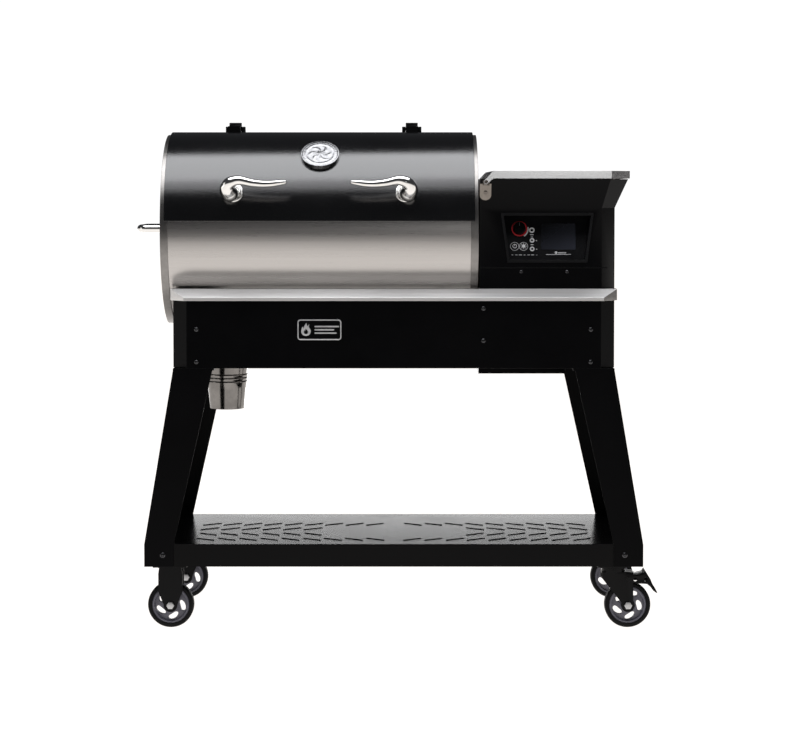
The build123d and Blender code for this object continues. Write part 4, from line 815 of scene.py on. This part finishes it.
def make_pedal(row):
    """A pressed brake pedal: two drilled cheeks that run out into the toe, and the web over them."""
    name = "brake_pedal_" + row
    low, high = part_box(name)
    half = (high.y - low.y) / 2 / MM
    side = frame_on(joint_at(row + "_right_roll"), (0, -1, 0))
    # Both outlines are in millimetres to the right of the wheel's hub and above it.
    cheek = [(-5, 79.5), (7, 79), (22, 75.5), (37, 78.6), (42, 86), (54, 66), (60.5, 52), (66.5, 43)]
    cheek += [(71.8, 32.5), (70.3, 31.8), (63, 37), (55, 47.5), (47, 54), (40, 54.5), (19, 55.5)]
    cheek += [(3, 61), (-4.8, 64.5)]
    web = [(15.5, 78), (22, 75.8), (37.6, 80), (42, 86.6), (54.6, 66), (60.4, 52), (65.8, 43)]
    web += [(72, 32.2), (70.6, 31.6), (64.4, 41.4), (58.6, 50.6), (52.8, 65), (41.6, 83.4)]
    web += [(38.4, 78), (22, 73.8), (15.5, 76)]
    holes = [circle(5.2, 28, x, 65) for x in (17.7, 44.0)]
    meshes = [placed(plate([web], 2 * half - 0.2, 0.4), side)]
    for way in (-1, 1):
        seat = Matrix.Translation((0, 0, way * (half - 1.1) * MM))
        meshes.append(placed(plate([cheek, *holes], 2.0, 0.5), side @ seat))
    pedal = join(meshes)
    piece = finish_mesh(f"brake_pedal_piece_{row}", pedal, "dark_metal", BODY_OF[name])
    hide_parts(name)


def make_shelf_slot_shade():
    """A dark sheet of painted shade under the shelf's slots, and the low lips beside them."""
    low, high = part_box("bottom_shelf")
    # Painted shade: this dark sheet shows through the slots in place of the shade under the shelf.
    slot_shade_sheet = plate([oblong((high.x - low.x) / MM - 70, (high.y - low.y) / MM - 40, 4)], 1.0, 0.3)
    place = Vector(((low.x + high.x) / 2, (low.y + high.y) / 2, high.z - 4.6 * MM))
    meshes = [placed(slot_shade_sheet, Matrix.Translation(place))]
    first_slot = 48
    pitch = 53
    slant = 38
    # Each row of slots: back from the cart's front, slots left out by the middle, and the way it leans.
    for y, left_out, lean in ((79, 0, -1), (162, 3, -1), (250, 3, 1), (328, 0, 1)):
        for side in (-1, 1):
            for i in range(left_out, 9):
                turn = Matrix.Rotation(math.radians(-side * lean * slant), 4, "Z")
                x = CART_X + side * (first_slot + pitch * i) * MM
                seat = Vector((x, CART_FRONT + y * MM, high.z - 0.6 * MM))
                lip = placed(plate([oblong(56, 1.8, 0.8, 0, 3.4)], 3.8, 0.3), turn)
                meshes.append(placed(lip, Matrix.Translation(seat)))
    finish_mesh("shelf_lining", join(meshes), "dark_metal", "cart")


def make_bucket():
    """A bright tapered pail with three rolled beads and a wired rim."""
    low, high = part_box("grease_bucket")
    centre = Vector(((low.x + high.x) / 2, (low.y + high.y) / 2, low.z))
    tall = (high.z - low.z) / MM
    base, top = 44.0, 56.0
    slope = (top - base) / tall
    outer = [(0, 0.6), (base - 3, 0.6), (base - 1.2, 0), (base, 0.8), (base + 0.4, 3)]
    for z in (26, 50):
        outer.append((base + slope * z, z))
    bead = ((0, -3.4), (1.0, -1.6), (1.5, 0), (1.0, 1.6), (0, 3.4))
    for z in (69, 78, 87):
        outer += [(base + slope * z + out, z + rise) for out, rise in bead]
    outer += [(base + slope * 104, 104), (top - 0.6, tall - 5)]
    outer += [(top + 1.1, tall - 4.4), (top + 1.9, tall - 2.6), (top + 1.5, tall - 0.6), (top, tall)]
    inner = [(top - 1.4, tall - 0.8), (top - 1.6, tall - 5), (base - 1, 3), (0, 2.2)]
    pail = placed(lathe(outer + inner, 96), Matrix.Translation(centre))
    ear = [(0, top - 1.4), (7, top - 1.4), (7.2, top + 3.4), (6.4, top + 4.8), (2.6, top + 5)]
    ear += [(2.6, top + 1), (0, top + 1)]
    pin = joint_at("bucket_tilt")
    ears = [placed(lathe(ear, 32), frame_on(pin, (way, 0, 0), (0, 1, 0))) for way in (-1, 1)]
    piece = finish_mesh("pail_piece", join([pail] + ears), "pail_steel", "grease_bucket")
    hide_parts("grease_bucket")


def make_side_handle():
    """A polished bar that stands off the left end on two bent posts."""
    low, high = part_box("side_handle")
    radius = 10 * MM
    z = (low.z + high.z) / 2
    x = low.x + radius
    wall = high.x
    bend = 17 * MM
    inset = 14 * MM
    near = low.y + inset
    far = high.y - inset
    line = [(wall, near, z, radius), (x + bend, near, z, radius)]
    for i in range(1, 8):
        turn = math.radians(90 * i / 8)
        line.append((x + bend - bend * math.sin(turn), near + bend - bend * math.cos(turn), z, radius))
    line += [(x, near + bend, z, radius), (x, (near + far) / 2, z, radius)]
    mirrored = [(px, near + far - py, pz, r) for px, py, pz, r in reversed(line[:-1])]
    meshes = [tube(line + mirrored, 32)]
    for y in (near, far):
        collar = [(0, 0), (13.4, 0), (14, 0.8), (14, 4), (12.8, 6), (11.4, 7), (11, 8), (0, 8)]
        meshes.append(placed(lathe(collar), frame_on(Vector((wall, y, z)), (-1, 0, 0))))
    piece = finish_mesh("side_handle_piece", join(meshes), "chrome", "cart", 50)
    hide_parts("side_handle")


def make_grates():
    """Three welded grates of round bar, in the places of the CAD ones."""
    low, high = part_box("cooking_grates")
    count = 3
    gap = 2 * MM
    width = (high.x - low.x - gap * (count - 1)) / count
    bar = 3 * MM
    z = (low.z + high.z) / 2
    meshes = []
    for i in range(count):
        x0 = low.x + i * (width + gap) + bar
        x1 = x0 + width - 2 * bar
        y0 = low.y + bar
        y1 = high.y - bar
        corner = 9 * MM
        loop = []
        for cx, cy, start in ((x1, y1, 0), (x0, y1, 90), (x0, y0, 180), (x1, y0, 270)):
            sx = corner if cx == x0 else -corner
            sy = corner if cy == y0 else -corner
            for k in range(5):
                turn = math.radians(start + 22.5 * k)
                loop.append((cx + sx + corner * math.cos(turn), cy + sy + corner * math.sin(turn), z, bar))
        loop.append(loop[0])
        meshes.append(tube(loop, 12))
        rods = 15
        for k in range(1, rods + 1):
            x = x0 + (x1 - x0) * k / (rods + 1)
            rod = [(x, y, z + 0.4 * MM, 2.4 * MM) for y in (y0, (y0 + y1) / 2, y1)]
            meshes.append(tube(rod, 10))
        for y in (y0 + (y1 - y0) * 0.33, y0 + (y1 - y0) * 0.67):
            meshes.append(tube([(x0, y, z - 1 * MM, 2 * MM), (x1, y, z - 1 * MM, 2 * MM)], 10))
    piece = finish_mesh("grates_piece", join(meshes), "bright_steel", "cart", 50)
    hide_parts("cooking_grates")


def make_bail():
    """The pail's wire bail, smooth through its bends."""
    low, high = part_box("bucket_bail")
    wire_r = 2 * MM
    pin = joint_at("bucket_tilt")
    y = (low.y + high.y) / 2
    top = high.z - wire_r
    half = (high.x - low.x) / 2 - wire_r
    middle_x = (low.x + high.x) / 2
    line = [
        (half - 8 * MM, pin.z), (half - 3 * MM, pin.z), (half, pin.z + 3 * MM), (half, pin.z + 28 * MM),
        (half - 5 * MM, pin.z + 33 * MM), (16 * MM, top - 2 * MM), (10 * MM, top), (0, top),
    ]
    right = [(middle_x + x, y, z, wire_r) for x, z in line]
    left = [(middle_x - x, y, z, wire_r) for x, z in reversed(line[:-1])]
    bail = tube(smooth_line(right + left, 6), 16)
    piece = finish_mesh("bail_piece", bail, "bright_steel", "bucket_bail", 50)
    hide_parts("bucket_bail")


def make_seam():
    """The folded seam across the hopper's front, above its lower screws."""
    bezel_low, bezel_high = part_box("controller_bezel")
    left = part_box("hopper_cabinet")[0].x / MM
    right = (bezel_high.x + 34 * MM) / MM
    strip = plate([oblong(right - left - 1, 2.0, 0.8)], 1.2, 0.4)
    place = Vector(((left + right) / 2 * MM, bezel_low.y + 1.3 * MM, bezel_low.z - 13 * MM))
    seam = placed(strip, frame_on(place, (0, -1, 0)))
    finish_mesh("hopper_seam", seam, "dark_metal", "cart")


def loose_parts(mesh):
    """The low and high corners of each loose part of a bmesh, in the order of its vertices."""
    boxes = []
    seen = set()
    for first in mesh.verts:
        if first in seen:
            continue
        seen.add(first)
        queue = [first]
        points = []
        while queue:
            vert = queue.pop()
            points.append(vert.co.copy())
            for edge in vert.link_edges:
                other = edge.other_vert(vert)
                if other not in seen:
                    seen.add(other)
                    queue.append(other)
        low = Vector([min(point[i] for point in points) for i in range(3)])
        high = Vector([max(point[i] for point in points) for i in range(3)])
        boxes.append((low, high))
    return boxes


def make_socket_shade():
    """Painted shade for the hex socket on each button-head screw of the skirt, legs and hopper: a dark ring
    round a hex.
    """
    screws = bmesh.new()
    screws.from_mesh(NODES["cart_screws"].data)
    bmesh.ops.remove_doubles(screws, verts=screws.verts, dist=1e-6)
    spots = loose_parts(screws)
    screws.free()
    meshes = []
    for low, high in spots:
        size = high - low
        centre = (low + high) / 2
        if size.y < size.x:
            way = -1 if centre.y < BARREL.y else 1
            face = Vector((centre.x, low.y if way < 0 else high.y, centre.z))
            normal = (0, way, 0)
            reach = size.x / 2
        else:
            way = -1 if centre.x < BARREL.x else 1
            face = Vector((low.x if way < 0 else high.x, centre.y, centre.z))
            normal = (way, 0, 0)
            reach = size.y / 2
        radius = reach * 0.5 / MM
        # Painted shade: a flat dark ring stands for the shade inside the socket.
        ring = plate([circle(radius * 1.25, 32), hexagon(radius)], 0.5, 0.1)
        turned = frame_on(face, normal, (0, 0, 1))
        meshes.append(placed(ring, turned @ Matrix.Translation((0, 0, -0.3 * MM))))
    finish_mesh("screw_sockets", join(meshes), "dark_metal", "cart")


# ---- build --------------------------------------------------------------------------------------------
make_floor()
make_world()
make_camera()
make_lights()

ROUNDED = {
    "barrel_lid": ("lid_powder", 0.9),
    "barrel_shell": ("stainless", 0.6),
    "end_caps": ("cap_steel", 0.8),
    "front_ledge": ("ledge_steel", 0.6),
    "front_skirt": ("satin_black", 0.8),
    "rear_skirt": ("satin_black", 0.8),
    "side_skirts": ("satin_black", 0.8),
    "legs": ("satin_black", 0.9),
    "bottom_shelf": ("shelf_black", 0.7),
    "undertray": ("satin_black", 0.6),
    "hopper_cabinet": ("hopper_black", 0.7),
    "hopper_lid": ("lid_steel", 0.5),
    "hopper_hinge_tabs": ("tab_steel", 0.4),
    "controller_bezel": ("panel_plastic", 0.6),
    "controller_face": ("panel_plastic", 0.3),
    "display_screen": ("screen_glass", 0.3),
    "exhaust_hood": ("satin_black", 0.8),
    "left_caster_forks": ("dark_metal", 0.7),
    "swivel_plates": ("dark_metal", 0.6),
    "swivel_fork_front": ("dark_metal", 0.6),
    "swivel_fork_rear": ("dark_metal", 0.6),
    "lid_hinge_brackets": ("dark_metal", 0.6),
    "lid_hinge_leaves": ("dark_metal", 0.6),
    "auger_motor": ("zinc", 1.2),
    "power_inlet": ("panel_plastic", 0.4),
}
for name, (look, width) in ROUNDED.items():
    rounded(name, look, width)
# Painted shade: the ledge's top faces and right end take the darker copy of its steel.
paint_shade_on_top_and_right_end("front_ledge_piece", "ledge_painted_shade")

DRESSED = {
    "barrel_saddles": "zinc",
    "cart_screws": "screw_black",
    "fire_pot": "fire_steel",
    "igniter_rod": "fire_steel",
    "heat_deflector": "fire_steel",
    "drip_pan": "fire_steel",
    "temperature_probe": "bright_steel",
    "grease_spout": "zinc",
    "auger_tube": "zinc",
    "auger_screw": "zinc",
    "blower_housing": "zinc",
    "blower_wheel": "panel_plastic",
    "probe_jacks": "panel_plastic",
    "hopper_bin": "zinc",
    "hopper_grille": "zinc",
}
for name, look in DRESSED.items():
    dress(name, look)

make_horns()
make_medallion()
make_badge()
make_knob()
make_panel_marks()
make_buttons()
for wheel in WHEELS:
    make_wheel(wheel)
make_axle_heads()
make_pedal("front")
make_pedal("rear")
make_shelf_slot_shade()
make_bucket()
make_bail()
make_side_handle()
make_grates()
make_seam()
make_socket_shade()

bpy.context.scene.view_settings.view_transform = "Standard"
bpy.context.scene.view_settings.look = "None"
